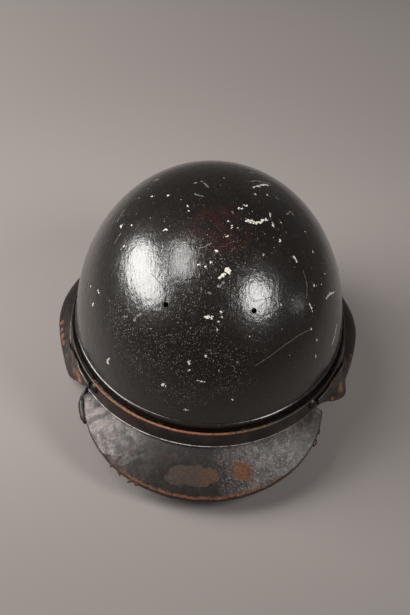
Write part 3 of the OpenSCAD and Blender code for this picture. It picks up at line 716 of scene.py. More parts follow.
def peak_leather(oval_ends, square_ends, glint_spot):
    """The peak's top: black leather with painted reflection and glints, two bared patches and a raw front
    edge.

    The ends are the left, right, upper and lower ends of a patch.
    """
    p = Paint("peak leather")
    u, edge = p.field("u"), p.field("edge")
    place_x, place_y = p.axes()
    cloud = p.mottle(13, 9, 0.70, 0.36, 0.64, warp=0.8)
    fine = p.mottle(1.6, 7, 0.80, 0.3, 0.72)
    blots = p.mottle(5, 7, 0.72, 0.38, 0.60, warp=0.6)
    # The haze is a painted reflection: cloudy grey, strongest on the left side and fainter on the right.
    painted_reflection = p.plus(p.times(p.span(u, 0.38, 0.12), 1.60), p.times(p.span(u, 0.52, 0.72), 0.76), 0.05)
    painted_reflection = p.times(painted_reflection, p.span(cloud, 0, 1, 0.16, 1.0), p.span(blots, 0, 1, 0.36, 1.0),
                   p.span(fine, 0, 1, 0.50, 1.25), clamped=True)
    colour = p.blend(painted_reflection, (0.0066, 0.0050, 0.0045), (0.140, 0.117, 0.111))
    colour = p.blend(p.mottle(6, 7, 0.7, 0.50, 0.66, 0, 0.6), colour, (0.036, 0.017, 0.013))
    # The sparkle is painted glints: bright specks round one spot.
    painted_glints = p.times(p.mottle(1.5, 5, 0.75, 0.54, 0.64), p.near(glint_spot, 42, 26), 0.42)
    colour = p.blend(painted_glints, colour, (0.33, 0.30, 0.29))

    def patch(ends, power, rough_edge):
        """Soft-edged mask of a bared place between its four ends, and how far right it is."""
        first, last, upper, lower = ends
        du = p.math("DIVIDE", p.math("SUBTRACT", place_x, (first.x + last.x) / 2), (last.x - first.x) / 2)
        dv = p.math("DIVIDE", p.math("SUBTRACT", place_y, (upper.y + lower.y) / 2), (upper.y - lower.y) / 2)
        reach = p.plus(*(p.math("POWER", p.math("ABSOLUTE", d), power) for d in (du, dv)))
        for size_mm, share in ((11, 1.0), (3, 0.5)):
            bite = rough_edge * share
            reach = p.plus(reach, p.mottle(size_mm, 4, 0.65, 0.32, 0.68, -bite, bite, warp=0.5))
        return p.span(reach, 1.08, 0.94), du

    oval, oval_du = patch(oval_ends, 2.2, 0.26)
    worn = p.tint(2.2, 7, 0.75, 0.3, 0.7, (0.016, 0.0094, 0.0065), (0.046, 0.029, 0.021))
    warm = p.tint(1.8, 7, 0.75, 0.3, 0.7, (0.028, 0.0124, 0.0073), (0.072, 0.034, 0.019))
    colour = p.blend(p.times(oval, 0.85), colour, p.blend(p.span(oval_du, 0.0, 0.8), worn, warm))
    square, square_du = patch(square_ends, 8.0, 0.18)
    torn_side = p.plus(square_du, p.span(p.noise(2, 7, 0.8), 0.30, 0.70, -1.1, 1.1, False))
    square = p.times(square, p.span(torn_side, 0.9, 0.6))
    raw = p.mottle(2.0, 7, 0.75, 0.32, 0.68, warp=0.5)
    raw = p.blend(raw, (0.027, 0.0106, 0.0053), (0.112, 0.046, 0.0175))
    colour = p.blend(square, colour, raw)
    front = p.math("MINIMUM", p.span(u, 0.17, 0.31), p.span(u, 0.94, 0.64, 0.25, 1.0))
    bare = p.times(p.span(p.ragged(p.times(edge, front), 5, 6, -0.30, 0.30), 0.48, 0.80), front)
    raw_edge = p.tint(1.8, 7, 0.78, 0.3, 0.7, (0.026, 0.010, 0.006), (0.135, 0.052, 0.020))
    colour = p.blend(bare, colour, raw_edge)
    rim = p.span(p.ragged(edge, 3, 6, -0.14, 0.14), 0.80, 0.96)
    colour = p.blend(rim, colour, (0.019, 0.009, 0.006))
    roughness = p.plus(p.span(fine, 0, 1, 0.38, 0.54), p.times(p.most(oval, square, bare), 0.28))
    torn = p.bump(p.plus(oval, square), 0.5, -0.5, p.swell(13, 6, 0.6, 1.2, 0.42))
    return p.done(colour, roughness, p.grain(1.0, 0.12, torn), specular_ior_level=0.28)


def strap_leather():
    """Brown strap leather, darkened by handling and paler where its edges are rubbed."""
    p = Paint("strap leather")
    colour = p.tint(13, 6, 0.6, 0.3, 0.7, (0.028, 0.014, 0.008), (0.075, 0.036, 0.018))
    rub = p.span(p.ragged(p.field("edge"), 3, 5, -0.3, 0.3), 0.7, 1.1)
    colour = p.blend(rub, colour, (0.15, 0.075, 0.035))
    return p.done(colour, p.uneven(0.42, 0.62, 5), p.grain(0.9, 0.10, p.swell(7, 4, 0.5, 0.5, 0.3)))


# Paper colours: the dark one is painted shade, and the pale far one is painted light.
PAPER_PAINTED_SHADE = (0.075, 0.070, 0.066)
PAPER_LIGHT = (0.222, 0.199, 0.189)
PAPER_FAR_PAINTED_LIGHT = (0.80, 0.765, 0.735)


def paper_with_painted_shade():
    """Seamless grey paper with painted shade that darkens it away from the helmet.

    Far off, painted light makes it pale to meet the grey of the world.
    """
    p = Paint("paper")
    x, y = p.axes()
    far = p.node("VectorMath", {0: p.place}, operation="LENGTH").outputs["Value"]
    # The shade factor is painted shade: darker in front of the helmet, at its sides, behind it and towards
    # the wearer's left, lighter close to it.
    painted_shade = p.times(
        p.span(y, -0.70, -0.52), p.span(far, 0.50, 0.18, 0.76, 1.0), p.span(y, -0.28, 0.08, 0.52, 1.0),
        p.span(x, 0.45, -0.30, 0.78, 1.0, False), p.span(p.math("ABSOLUTE", x), 0.62, 0.30),
        p.span(y, 1.10, 0.55))
    colour = p.blend(p.span(far, 1.15, 2.55), p.blend(painted_shade, PAPER_PAINTED_SHADE, PAPER_LIGHT), PAPER_FAR_PAINTED_LIGHT)
    return p.done(colour, 0.85, p.swell(2.0, 4, 0.6, 0.05, 0.3), specular_ior_level=0.2)


# The camera stands where the photographer's did

PHOTO_W, PHOTO_H = 410, 615
LENS_MM, SENSOR_MM = 85.0, 36.0
CAMERA_ELEVATION = 44.5
CAMERA_ROLL = 4.0
CAMERA_DISTANCE = 1.264
CAMERA_RIGHT, CAMERA_UP = -3.6 * MM, 4.2 * MM

aim_at = Vector((0, CENTRE_Y, RIM_Z))
view_back = Vector((0, -cosd(CAMERA_ELEVATION), sind(CAMERA_ELEVATION)))
level_right = Vector((1, 0, 0))
level_up = view_back.cross(level_right)
view_right = level_right * cosd(CAMERA_ROLL) + level_up * sind(CAMERA_ROLL)
view_up = level_up * cosd(CAMERA_ROLL) - level_right * sind(CAMERA_ROLL)
eye = aim_at + view_back * CAMERA_DISTANCE + view_right * CAMERA_RIGHT + view_up * CAMERA_UP
PIXELS = LENS_MM / SENSOR_MM * PHOTO_H


def axes_to_matrix(middle, right, up, back):
    return Matrix.Translation(middle) @ Matrix((right, up, back)).transposed().to_4x4()


camera_data = bpy.data.cameras.new("photo_camera")
camera_data.sensor_fit = "VERTICAL"
camera_data.sensor_height = SENSOR_MM
camera_data.lens = LENS_MM
camera = link("photo_camera", camera_data)
camera.matrix_world = axes_to_matrix(eye, view_right, view_up, view_back)
bpy.context.scene.camera = camera


def pixel_ray(x, y):
    """Direction from the camera through a point of the photograph."""
    across = (x - PHOTO_W / 2) / PIXELS
    up = (PHOTO_H / 2 - y) / PIXELS
    return (view_right * across + view_up * up - view_back).normalized()


def tree_of(obj):
    mesh = obj.data
    places = [obj.matrix_world @ v.co for v in mesh.vertices]
    return BVHTree.FromPolygons(places, [tuple(p.vertices) for p in mesh.polygons])


def spot_on(node, x, y):
    """Where the photograph's point (x, y) falls on a solid."""
    return tree_of(nodes[node]).ray_cast(eye, pixel_ray(x, y))[0]


def piece(obj, body, slot, material, *replaced, hangs=False):
    """Gives a finished mesh its material, its body and the nodes it stands for.

    Leather or felt that hangs is fixed where it is and is not given a body.
    """
    dress(obj, material)
    if hangs:
        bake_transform(obj)
    else:
        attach(obj, body)
    if replaced:
        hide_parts(*replaced)


def join(name, objs):
    with bpy.context.temp_override(active_object=objs[0], selected_editable_objects=objs):
        bpy.ops.object.join()
    objs[0].name = name
    return objs[0]


# Materials that several pieces share

LACQUER = lacquer(spot_on("shell", 219, 231), spot_on("shell", 186, 322))
BEAD = bead_paint()
FLAP_SPOTS = (
    ("ear_flap_right", 62, 323, 3.0), ("ear_flap_right", 62, 330, 3.0), ("ear_flap_right", 62.5, 337, 4.2),
    ("ear_flap_right", 64, 343, 3.4), ("ear_flap_left", 345, 379, 5.5), ("ear_flap_left", 349, 364, 2.6),
    ("ear_flap_left", 351, 356, 2.2))
FLAP = flap_leather([(spot_on(node, x, y), size) for node, x, y, size in FLAP_SPOTS])
BAND = dark_leather("band leather", 0.50, 0.85, 0.35)
PIPING_HIGHLIGHT = piping_painted_highlight()
PEAK_TAB = worn_lip((), 0.2)
OVAL = [spot_on("peak_top", x, y) for x, y in ((167, 475), (218, 475), (192, 465), (192, 486))]
SQUARE = [spot_on("peak_top", x, y) for x, y in ((233.5, 472), (256, 472), (245, 463.5), (245, 481))]
# The last spot centres the peak's painted glints.
PEAK = peak_leather(OVAL, SQUARE, spot_on("peak_top", 262, 460))
RAW = dull_paint(
    "raw fibre", (0.010, 0.004, 0.003), (0.052, 0.020, 0.009), (1.8, 6, 0.75), 0.88, (0.7, 6, 0.75, 0.4, 0.8))
TAN = plain_leather("tan leather", (0.15, 0.068, 0.028), (0.30, 0.150, 0.066))
UNDER = plain_leather("peak lining leather", (0.030, 0.020, 0.012), (0.075, 0.048, 0.026))
STRAP = strap_leather()
FELT = felt()
CORK = cork()
CORD = cord_paint()
FIBRE = plain_leather("vulcanised fibre", (0.085, 0.034, 0.018), (0.15, 0.065, 0.034), (0.4, 0.6))
BRASS = metal("old brass", (0.50, 0.34, 0.12), (0.16, 0.10, 0.045), (0.30, 0.55))
DARK_RIVET = metal("dark rivet", (0.075, 0.075, 0.055), (0.016, 0.015, 0.012), (0.26, 0.45), (0.3, 0.6))
STEEL = metal("dull steel", (0.38, 0.36, 0.33), (0.12, 0.095, 0.075), (0.34, 0.6))
THREAD = dull_paint(
    "waxed thread", (0.05, 0.035, 0.022), (0.20, 0.14, 0.085), (1.6, 4, 0.6), 0.7, (0.4, 3, 0.6, 0.1, 0.6))
CHIP_LOOK = ((1.2, 5, 0.7), 0.75, (0.7, 4, 0.6, 0.1, 0.5))
CHIP = dull_paint("bared ground", (0.30, 0.27, 0.23), (0.68, 0.645, 0.59), *CHIP_LOOK)
SCRAPE = dull_paint("scraped gloss", (0.055, 0.050, 0.044), (0.17, 0.155, 0.135), *CHIP_LOOK)
CRACK = dull_paint("open crack", (0.003, 0.003, 0.003), (0.014, 0.012, 0.011), *CHIP_LOOK)


# Shell

ROUND_STEPS = 288
SKIRT_ROWS = 8
DOME_ROWS = 84
DENT = 0.10 * MM


def shell_side(d, uneven):
    """Rings of one face of the shell, d outside it, and its top. uneven is the share of its dents."""
    angles = [360 * k / ROUND_STEPS for k in range(ROUND_STEPS)]
    middle = Vector((0, CENTRE_Y, RIM_Z))
    rings = []
    for i in range(SKIRT_ROWS):
        rings.append([rim_point(d, t, -SKIRT_H * (1 - i / SKIRT_ROWS)) for t in angles])
    for i in range(DOME_ROWS):
        f = 90 * i / DOME_ROWS
        share = uneven * ease(f, 0, 12)
        places = [dome_point(t, f, d) for t in angles]
        rings.append([p + (p - middle).normalized() * DENT * share * wobble(p, 0.045, 3.0) for p in places])
    return rings, Vector((0, CENTRE_Y, RIM_Z + (DOME_H + d)))


def make_shell():
    obj = double_dome("shell_skin", shell_side(0.0, 1.0), shell_side(-SHELL_WALL, 0.0))
    for mount in frame["record"]["mounts"]:
        if mount["kind"] == "bore":
            place, axis = Vector(mount["pos_m"]), Vector(mount["axis"])
            cut(obj, [rod(place, axis, mount["dims"]["r_mm"] * MM, 0.02)])
    return sharpen(obj, 40)


shell = make_shell()
shell_tree = tree_of(shell)
piece(shell, "helmet", "lacquered_shell", LACQUER, "shell")

BEAD_H = bead_high.z - bead_low.z
BEAD_OUT = bead_high.x - shell_high.x
BEAD_SECTION = (
    (-0.15, -1.0), (0.5, -0.86), (0.92, -0.42), (1.0, -0.06), (0.94, 0.20), (0.80, 0.44), (0.52, 0.68),
    (0.20, 0.90), (-0.15, 1.0))


def bead_sway(t):
    p = Vector((cosd(t), sind(t), 0.2))
    return (-0.10 * MM * abs(wobble(p, 0.16, 5.0)), 0.25 * MM * wobble(p, 0.35, 9.0))


section = [(out * BEAD_OUT, up * BEAD_H / 2) for out, up in BEAD_SECTION]
bead = ring_piece("rim_bead_skin", section, 420, sway=bead_sway)
piece(bead, "helmet", "lacquered_shell", BEAD, "rim_bead")


# Chips, scratches and cracks in the lacquer: each stroke is a width and then a row of the photograph's
# points, x and y in turn, all in its pixels. Bright ones bare the pale ground, dull ones only scrape the
# gloss off.

BRIGHT_CHIPS = (
    (6.6, 227.2, 272.5, 229, 270.6, 229.8, 268.6), (4.4, 226, 271, 230.6, 270.4),
    (3.2, 218, 277.8, 222, 276, 226, 275),
    (3.6, 246, 219.6, 249.5, 221.6, 254, 222.4, 258, 222.6, 262, 220.4, 268, 219.2),
    (2.2, 253, 187.2, 259, 186, 264, 184.6, 270, 185.6), (2.4, 239, 208.6, 242.5, 208),
    (1.8, 243.5, 205.2, 247.5, 205.8), (3.4, 279.3, 240.6, 280.2, 239.8),
    (3.2, 294, 255.5, 295.2, 259, 296.4, 262), (1.8, 263, 255, 264.2, 254.4),
    (1.5, 326, 299, 329, 294.6, 334.6, 291.8), (1.3, 329, 292, 331.5, 294.5),
    (1.9, 309.2, 303, 311, 307, 312.8, 311.6), (2, 313.6, 284.2, 314, 286),
    (2.6, 204.6, 316.4, 208.4, 317.6, 212.2, 317.2), (2, 220.4, 312, 221, 313),
    (1.7, 221.6, 317, 222, 317.6), (1.8, 218.2, 321.2, 219, 322.2), (1.2, 217, 328, 217.4, 330.6),
    (1.7, 162.4, 230.8, 165, 229.4, 167.8, 230.4), (2.8, 167.6, 194.8, 168.4, 195.4),
    (2, 151.6, 196.2, 152.2, 196.6), (2.8, 121.4, 225.4, 121.8, 227), (2, 131.4, 225, 132, 225.4),
    (2.2, 123.4, 246.2, 124.4, 246.6), (1.6, 187.6, 205, 187.8, 206.4), (1.7, 188.6, 210.6, 188.8, 212),
    (1.9, 109.4, 358.6, 107.4, 360, 107.2, 362.6, 109, 364), (3, 161.4, 386, 163.6, 384.8, 165.8, 385.2),
    (2.6, 188.2, 364.4, 189.4, 361.8), (2, 188.4, 369.8, 189, 370.2),
    (1.3, 197.2, 380, 200.4, 381.4, 204.8, 381.8), (1.9, 205.6, 355.4, 206, 356.2),
    (1.6, 218.4, 370, 218.8, 370.6), (2, 231.6, 399.2, 232.2, 399.8), (1.9, 184.2, 409.6, 188.4, 410.2),
    (2, 315.4, 355.6, 315.8, 357.2), (2.2, 311.2, 328.2, 311.6, 329.2),
    (1.4, 336.8, 323.4, 335.6, 331, 334.4, 337.4, 332, 344.4), (1.4, 316.6, 339.4, 317, 341.2),
    (2.6, 216, 250.6, 216.6, 252.6), (1.9, 210.2, 261.8, 210.8, 262.2), (2.1, 205.2, 267, 205.8, 267.4),
    (2, 197.6, 264.6, 198.6, 265), (2.4, 226, 237, 228, 236), (1.5, 228, 221.2, 228.6, 221.6),
    (1.4, 232, 225, 231.6, 228.4), (1.3, 236.4, 227.4, 238.4, 228.4), (1.7, 270, 212.6, 270.4, 216.6),
    (2.4, 272.6, 223, 274, 227), (1.6, 281, 222, 281.4, 222.6), (1.9, 312.4, 251, 314, 253),
    (1.6, 304.6, 230.8, 305.2, 231.4), (1.5, 324.6, 273.4, 325, 273.8), (1.5, 97.8, 289.6, 98.8, 293.2),
    (1.8, 93.2, 303, 92.8, 306), (1.6, 90.4, 286.4, 90.8, 287), (2.2, 267.4, 194.6, 268, 195.2),
    (1.7, 255, 194, 256, 194.4), (1.6, 280.6, 304.6, 281, 305),
)
DULL_CHIPS = (
    (2.6, 155.6, 180, 159, 179.4), (2.8, 195, 183.4, 196.6, 182.4),
    (1.6, 201.4, 181, 205, 184, 208.6, 187.6), (2, 249, 172.6, 254, 172.8),
    (1.6, 250.6, 181.4, 256, 180.8, 270.8, 184.2), (1.9, 286.4, 214.6, 290, 211.4, 294, 215.4),
    (1.7, 274.8, 196.6, 279, 199.6), (1.2, 117, 222, 124.6, 209.4), (1, 114.8, 242.8, 121, 233.2),
    (2.6, 134, 320.4, 137.6, 315.6, 141, 314.4), (2, 122.4, 316.6, 127, 317),
    (2.4, 217.4, 287.4, 222, 284.4, 224.6, 281.4), (2.2, 208, 292, 210.6, 293.6),
    (0.9, 303.4, 271, 307, 285, 306.6, 297), (0.7, 255, 366, 268, 357.4, 284, 345.4, 299, 335, 310.4, 329.4),
    (2, 282, 329, 283, 330.2), (2, 236, 361.6, 239, 362), (1.6, 193.6, 193.8, 203, 196.4),
    (1.2, 198.4, 248.4, 204, 247, 212, 243),
)
CRACKS = (
    (0.8, 251, 300.8, 255, 301.2, 260, 300, 265, 299.4, 269.4, 297.2),
    (0.6, 258, 308.6, 262, 304.6, 267, 299.8), (0.6, 151, 273, 158, 281, 167, 292),
    (1.1, 168.5, 251, 169.6, 259, 168, 268, 168.6, 275),
)
FLAKE_GAP, FLAKE_SPREAD = 0.08, 0.42
CRUMBS, CRUMB_SPREAD = 2, 1.7
SPECK_TRIES, BRIGHT_SHARE = 12000, 0.15
SPECK_LEAST, SPECK_MOST = 0.30 * MM, 1.25 * MM


def lay(p, lift_mm):
    """The nearest point of the shell to p, lifted a little off it."""
    place, normal, _, _ = shell_tree.find_nearest(p)
    return place + normal * lift_mm * MM


def scatter(rng):
    return Vector([rng.uniform(-1, 1) for _ in range(3)])


def speck(verts, faces, centre, size, rng):
    """Adds one small ragged spot of the given size."""
    _, normal, _, _ = shell_tree.find_nearest(centre)
    side = normal.orthogonal().normalized()
    side.rotate(Matrix.Rotation(rng.uniform(0, math.tau), 3, normal))
    other = normal.cross(side)
    start, corners = len(verts), 7
    stretch = rng.uniform(0.45, 1.0)
    verts.append(lay(centre, 0.07))
    for k in range(corners):
        a = 360 * k / corners
        r = size / 2 * rng.uniform(0.6, 1.2)
        verts.append(lay(centre + side * cosd(a) * r + other * sind(a) * r * stretch, 0.03))
        faces.append((start, start + 1 + k, start + 1 + (k + 1) % corners))


def stroke(verts, faces, width_px, row, rng):
    """Adds a ragged chip along a row of the photograph's points, made of small flakes."""
    rays = [pixel_ray(x, y) for x, y in zip(row[::2], row[1::2])]
    spots = [place for place in (shell_tree.ray_cast(eye, ray)[0] for ray in rays) if place is not None]
    width = width_px * (spots[0] - eye).length / PIXELS
    whole = sum((b - a).length for a, b in zip(spots, spots[1:]))
    flakes = max(5, int(whole / (0.20 * width)))
    for a, b in zip(spots, spots[1:]):
        for _ in range(max(1, round(flakes * ((b - a).length / whole)))):
            if rng.random() < FLAKE_GAP:
                continue
            p = a.lerp(b, rng.random())
            speck(verts, faces, p + scatter(rng) * width * FLAKE_SPREAD, width * rng.uniform(0.45, 1.0), rng)
    for _ in range(CRUMBS):
        p = rng.choice(spots)
        speck(verts, faces, p + scatter(rng) * width * CRUMB_SPREAD, width * rng.uniform(0.12, 0.30), rng)


def make_marks():
    """All chips and specks. The photographed ones have their places, and the rest are strewn by a rule."""
    rng = random.Random(41)
    bright, dull, dark = ([], []), ([], []), ([], [])
    for strokes, mesh in ((BRIGHT_CHIPS, bright), (DULL_CHIPS, dull), (CRACKS, dark)):
        for width, *row in strokes:
            stroke(*mesh, width, row, rng)
    for _ in range(SPECK_TRIES):
        t = rng.uniform(0, 360)
        f = math.degrees(math.asin(rng.uniform(0.03, 0.995)))
        p = dome_point(t, f)
        crowd = 0.5 + 0.5 * wobble(p, 0.05, 21.0) + 0.35 * wobble(p, 0.014, 4.0)
        crowd *= 0.14 + 0.86 * ease(f, 14, 38)
        if rng.random() > crowd ** 2 * 0.9:
            continue
        size = SPECK_LEAST + SPECK_MOST * rng.random() ** 8
        speck(*(bright if rng.random() < BRIGHT_SHARE else dull), p, size, rng)
    kinds = (("bare_chips", bright, CHIP), ("dull_chips", dull, SCRAPE), ("lacquer_cracks", dark, CRACK))
    for name, mesh, material in kinds:
        piece(raw_object(name, *mesh), "helmet", "lacquered_shell", material)


make_marks()


# Band round the helmet, with its overlap at the back

JOINT_T = 90.0
BAND_STEPS = 450
BAND_ROUND = 0.95 * MM
WORN_TOP, WORN_FOOT = 2.3 * MM, 0.8 * MM
PIPING_R = 0.48 * MM
PIPING_UP = 0.45 * MM
HEADING_IN, HEADING_ROUND = 0.25 * MM, 0.8 * MM
HEADING_LOW, HEADING_HIGH = CURTAIN_TOP + 1.2 * MM, BAND_TOP - 2 * MM
HEADING_STEPS = 220


def band_sway(t):
    """How the old band wanders in and out, and up and down, and stands out over its joint."""
    p = Vector((cosd(t), sind(t), 0.0))
    step = 0.55 * MM * ease(t, JOINT_T - 9, JOINT_T - 7) if t <= JOINT_T + 7 else 0.0
    return (0.18 * MM * wobble(p, 0.22, 1.0) + step, 0.30 * MM * wobble(p, 0.5, 7.0))


def make_band():
    section = rounded_box(BAND_IN, BAND_IN + BAND_WALL, BAND_BOTTOM, BAND_TOP, BAND_ROUND, 5)
    section += [(BAND_IN + BAND_WALL, mix(BAND_BOTTOM, BAND_TOP, k / 9)) for k in range(1, 9)]
    flared = [(d + BAND_FLARE * (BAND_TOP - z) / (BAND_TOP - BAND_BOTTOM), z) for d, z in section]
    obj = ring_piece("band_leather", flared, BAND_STEPS, sway=band_sway)
    wear = []
    for k in range(BAND_STEPS):
        front = ease(cosd(360 * k / BAND_STEPS + 104), 0.62, 0.93)
        for d, z in flared:
            top = clamp(1 - (BAND_TOP - z) / WORN_TOP)
            foot = clamp(1 - (z - BAND_BOTTOM) / WORN_FOOT) * 0.3
            wear.append(max(top * (0.28 + 0.70 * front), foot))
    add_field(obj, "edge", wear)
    return sharpen(obj, 60)


def make_piping():
    """The band's rolled foot. Its rub field holds a painted highlight, pale at the front and faint at the
    back.
    """
    section = arc(BAND_IN + BAND_WALL + BAND_FLARE, BAND_BOTTOM + PIPING_UP, PIPING_R, 0, 320, 8)
    obj = ring_piece("band_piping", section, BAND_STEPS, sway=band_sway)
    # Painted highlight: how pale the piping is painted round the rim, most at the front.
    rub = [0.12 + 0.88 * ease(cosd(360 * k / BAND_STEPS + 122), 0.15, 0.95) for k in range(BAND_STEPS)]
    add_field(obj, "rub", [share for share in rub for _ in section])
    return obj


piece(make_band(), "helmet", "dark_leather", BAND, "outer_band")
piece(make_piping(), "helmet", "dark_leather", PIPING_HIGHLIGHT)

GLOSSY = dark_leather("polished leather", 1.2, 1.5, 0.2)
section = rounded_box(HEADING_IN, STITCH_MARGIN, HEADING_LOW, HEADING_HIGH, HEADING_ROUND)
heading = ring_piece("curtain_heading_leather", section, HEADING_STEPS, -FRONT_ANGLE, 180 + FRONT_ANGLE)
piece(heading, "helmet", "dark_leather", GLOSSY, "curtain_heading")


# Peak

STRIP_SHARE = 0.16
STRIP_WALL = 1.85 * MM
STRIP_DOWN = 2.8 * MM
EDGE_SHARE = 0.978
LINING_U, LINING_V = (0.035, 0.965), (0.04, 0.955)
LINING_GAP = 0.25 * MM
SLIVER_FROM, SLIVER_OVER = 0.950, 0.975
TAB_STOPS = (0.0, 0.02, 0.045, 0.07, 0.088)
TAB_RADII_MM = (1.7, 2.3, 3.3, 3.6, 2.7, 0.8)
CREASE_WIDE = 2.4 * MM


def peak_edge(s):
    u = 180 * (1 - s)
    drop = PEAK_SIDE_FALL + PEAK_FRONT_FALL * sind(u)
    y = CENTRE_Y - TEMPLE_Y - PEAK_REACH * sind(u)
    return Vector((PEAK_HALF_W * cosd(u), y, RIM_Z + BAND_BOTTOM - drop))


def peak_root(s):
    return rim_point(STITCH_MARGIN, mix(-180 - PEAK_FIRST, PEAK_FIRST, s), BAND_BOTTOM - 0.2 * MM)


def peak_smooth(s, q, low=0.0):
    """The peak's even surface: s runs along it, q from the band to the front edge, low lies below it."""
    lift = PEAK_CAMBER * sind(180 * s) * 4 * q * (1 - q)
    return peak_root(s).lerp(peak_edge(s), q) + Vector((0, 0, lift - low))


CREASES = [
    (spot_on("peak_top", 104.0, 454.5), spot_on("peak_top", 117.0, 456.0), 1.3 * MM),
    (spot_on("peak_top", 108.0, 462.0), spot_on("peak_top", 121.0, 470.0), -0.9 * MM),
]


def crease(p):
    """Sharp folds that old damp left near the peak's corner."""
    lift = 0.0
    for first, last, height in CREASES:
        span = last - first
        share = (p - first).dot(span) / span.length_squared
        off = (p - first - span * clamp(share)).length
        lift += height * math.exp(-(off / CREASE_WIDE) ** 2)
    return lift


def peak_ragged(s):
    """How far the worn edge has gone back, as a share of the peak's depth."""
    p = Vector((s * 3, 0.3, 0.7))
    front = ease(s, 0.18, 0.30) * ease(1 - s, 0.08, 0.25)
    fine = 0.020 * abs(wobble(p, 0.024, 8.0)) + 0.012 * abs(wobble(p, 0.009, 4.0))
    return 0.012 * abs(wobble(p, 0.09, 2.0)) + fine * (0.4 + 0.6 * front)


def peak_point(u, v):
    if v <= STRIP_SHARE:
        p = peak_root(u)
        top = RIM_Z + BAND_TOP - STRIP_DOWN
        return Vector((p.x, p.y, mix(top, p.z, v / STRIP_SHARE)))
    q = (v - STRIP_SHARE) / (1 - STRIP_SHARE)
    p = peak_smooth(u, q * (EDGE_SHARE - peak_ragged(u) * ease(q, 0.7, 1.0)))
    waves = 0.9 * MM * wobble(p, 0.05, 6.0) + 0.4 * MM * wobble(p, 0.02, 11.0)
    return p + Vector((0, 0, waves * ease(q, 0.1, 0.5) + crease(p)))


def peak_wall(u, v):
    return STRIP_WALL if v < STRIP_SHARE else PEAK_WALL


def lining_point(u, v):
    s, q = mix(*LINING_U, u), mix(*LINING_V, v)
    p = peak_smooth(s, q, PEAK_WALL + LINING_GAP)
    return p + Vector((0, 0, 0.7 * MM * wobble(p, 0.05, 6.0) * ease(q, 0.1, 0.5)))


# Slivers and stubs of leather on the peak's worn edge: where each stands as a share of the edge, how far
# its tip reaches, how wide and thick it is in millimetres, and how blunt it is from 0 to 1
SLIVERS = (
    (0.271, (0.0014, -0.0026, -0.0034), 6.5, 1.5, 0.15),
    (0.318, (-0.0040, -0.0012, -0.0008), 4.8, 1.4, 0.2),
    (0.332, (-0.0008, -0.0014, -0.0010), 7.0, 1.3, 0.4),
    (0.245, (-0.0014, -0.0012, -0.0010), 4.6, 1.3, 0.3),
)
BUMPS = (
    (0.897, (0.0022, -0.0006, -0.0008), 8.0, 2.6, 0.9),
    (0.936, (0.0015, 0.0000, -0.0006), 6.0, 2.4, 0.9),
)


def make_sliver(share, reach, wide_mm, thick_mm, blunt):
    inner = peak_smooth(share, SLIVER_FROM, PEAK_WALL / 2)
    edge = peak_smooth(share, SLIVER_OVER, PEAK_WALL / 2)
    along = (peak_edge(share + 0.01) - peak_edge(share - 0.01)).normalized()
    rings = []
    for k in range(13):
        w = k / 12
        half = wide_mm * MM / 2 * mix(1.02 - w ** 0.8, math.sqrt(max(0.03, 1 - w ** 3)), blunt)
        thick = thick_mm * MM / 2 * math.sqrt(max(0.1, 1 - w ** 4))
        middle = inner.lerp(edge, min(1, 2.2 * w)) + Vector(reach) * w
        ring = []
        for a in range(0, 360, 45):
            ring.append(middle + along * half * cosd(a) + Vector((0, 0, thick * sind(a))))
        rings.append(ring)
    return loft("sliver", rings)


def make_corner_tab():
    """The peak's turned-in rear corner on the wearer's right: a dark roll from the band down the edge."""
    top = rim_point(4.6 * MM, PEAK_FIRST + 2.2, BAND_BOTTOM + 1.5 * MM)
    path = [Vector((-top.x, top.y, top.z))]
    for s in TAB_STOPS:
        path.append(peak_edge(s) + Vector((-0.9 * MM, 0.2 * MM, -2.4 * MM)))
    steps, rings = 30, []
    for k in range(steps + 1):
        w = k / steps * (len(path) - 1)
        i = min(int(w), len(path) - 2)
        middle = path[i].lerp(path[i + 1], w - i)
        r = mix(*TAB_RADII_MM[i:i + 2], w - i) * MM * (1 + 0.18 * wobble(middle, 0.006, 6.0))
        rings.append([middle + Vector((r * 1.15 * cosd(a), 0, r * sind(a))) for a in range(0, 360, 30)])
    return loft("corner_tab", rings)


peak = sheet("peak_leather", peak_point, 240, 64, peak_wall, -1, "V", 6.5)
piece(peak, "helmet", "peak_leather", PEAK, "peak_top")
slivers = [make_sliver(*sliver) for sliver in SLIVERS]
piece(join("peak_slivers", slivers), "helmet", "peak_leather", RAW)
stubs = [make_corner_tab()] + [make_sliver(*bump) for bump in BUMPS]
piece(join("peak_bumps", stubs), "helmet", "peak_leather", PEAK_TAB)
lining = sheet("peak_lining_leather", lining_point, 120, 36, PEAK_LINING, -1, "uUvV", 4.0)
piece(lining, "helmet", "tan_leather", UNDER, "peak_lining")


# Curtain: two ear flaps and the neck flap, each of leather with a felt lining

EDGE_IN = 0.55
FELT_IN = CURTAIN_WALL + 0.2 * MM
TOP_V = -0.025
FOOT_V = 1 - CURTAIN_WALL / 2 / CURTAIN_DROP
EAR_T, HOLE_V, HOLE_RING, HOLE_R = 4.0, 0.5, 10 * MM, 2 * MM
ROW_MARGIN, ROW_TOP, ROW_FOOT = 1.9, 0.06, 0.93
PANEL_STEPS, PANEL_FADE_MM = (84, 32), 7.0
FLAPS = {
    "ear_flap_left": (-FRONT_ANGLE + 0.5, SLIT_ANGLE - SLIT_OPEN / 2, 1),
    "ear_flap_right": (180 - SLIT_ANGLE + SLIT_OPEN / 2, 180 + FRONT_ANGLE - 0.5, -1),
    "neck_flap": (SLIT_ANGLE + SLIT_OPEN / 2, 180 - SLIT_ANGLE - SLIT_OPEN / 2, 0),
}


def from_front(t):
    """Angle from the curtain's nearer front edge."""
    return min(t + FRONT_ANGLE, 180 + FRONT_ANGLE - t)


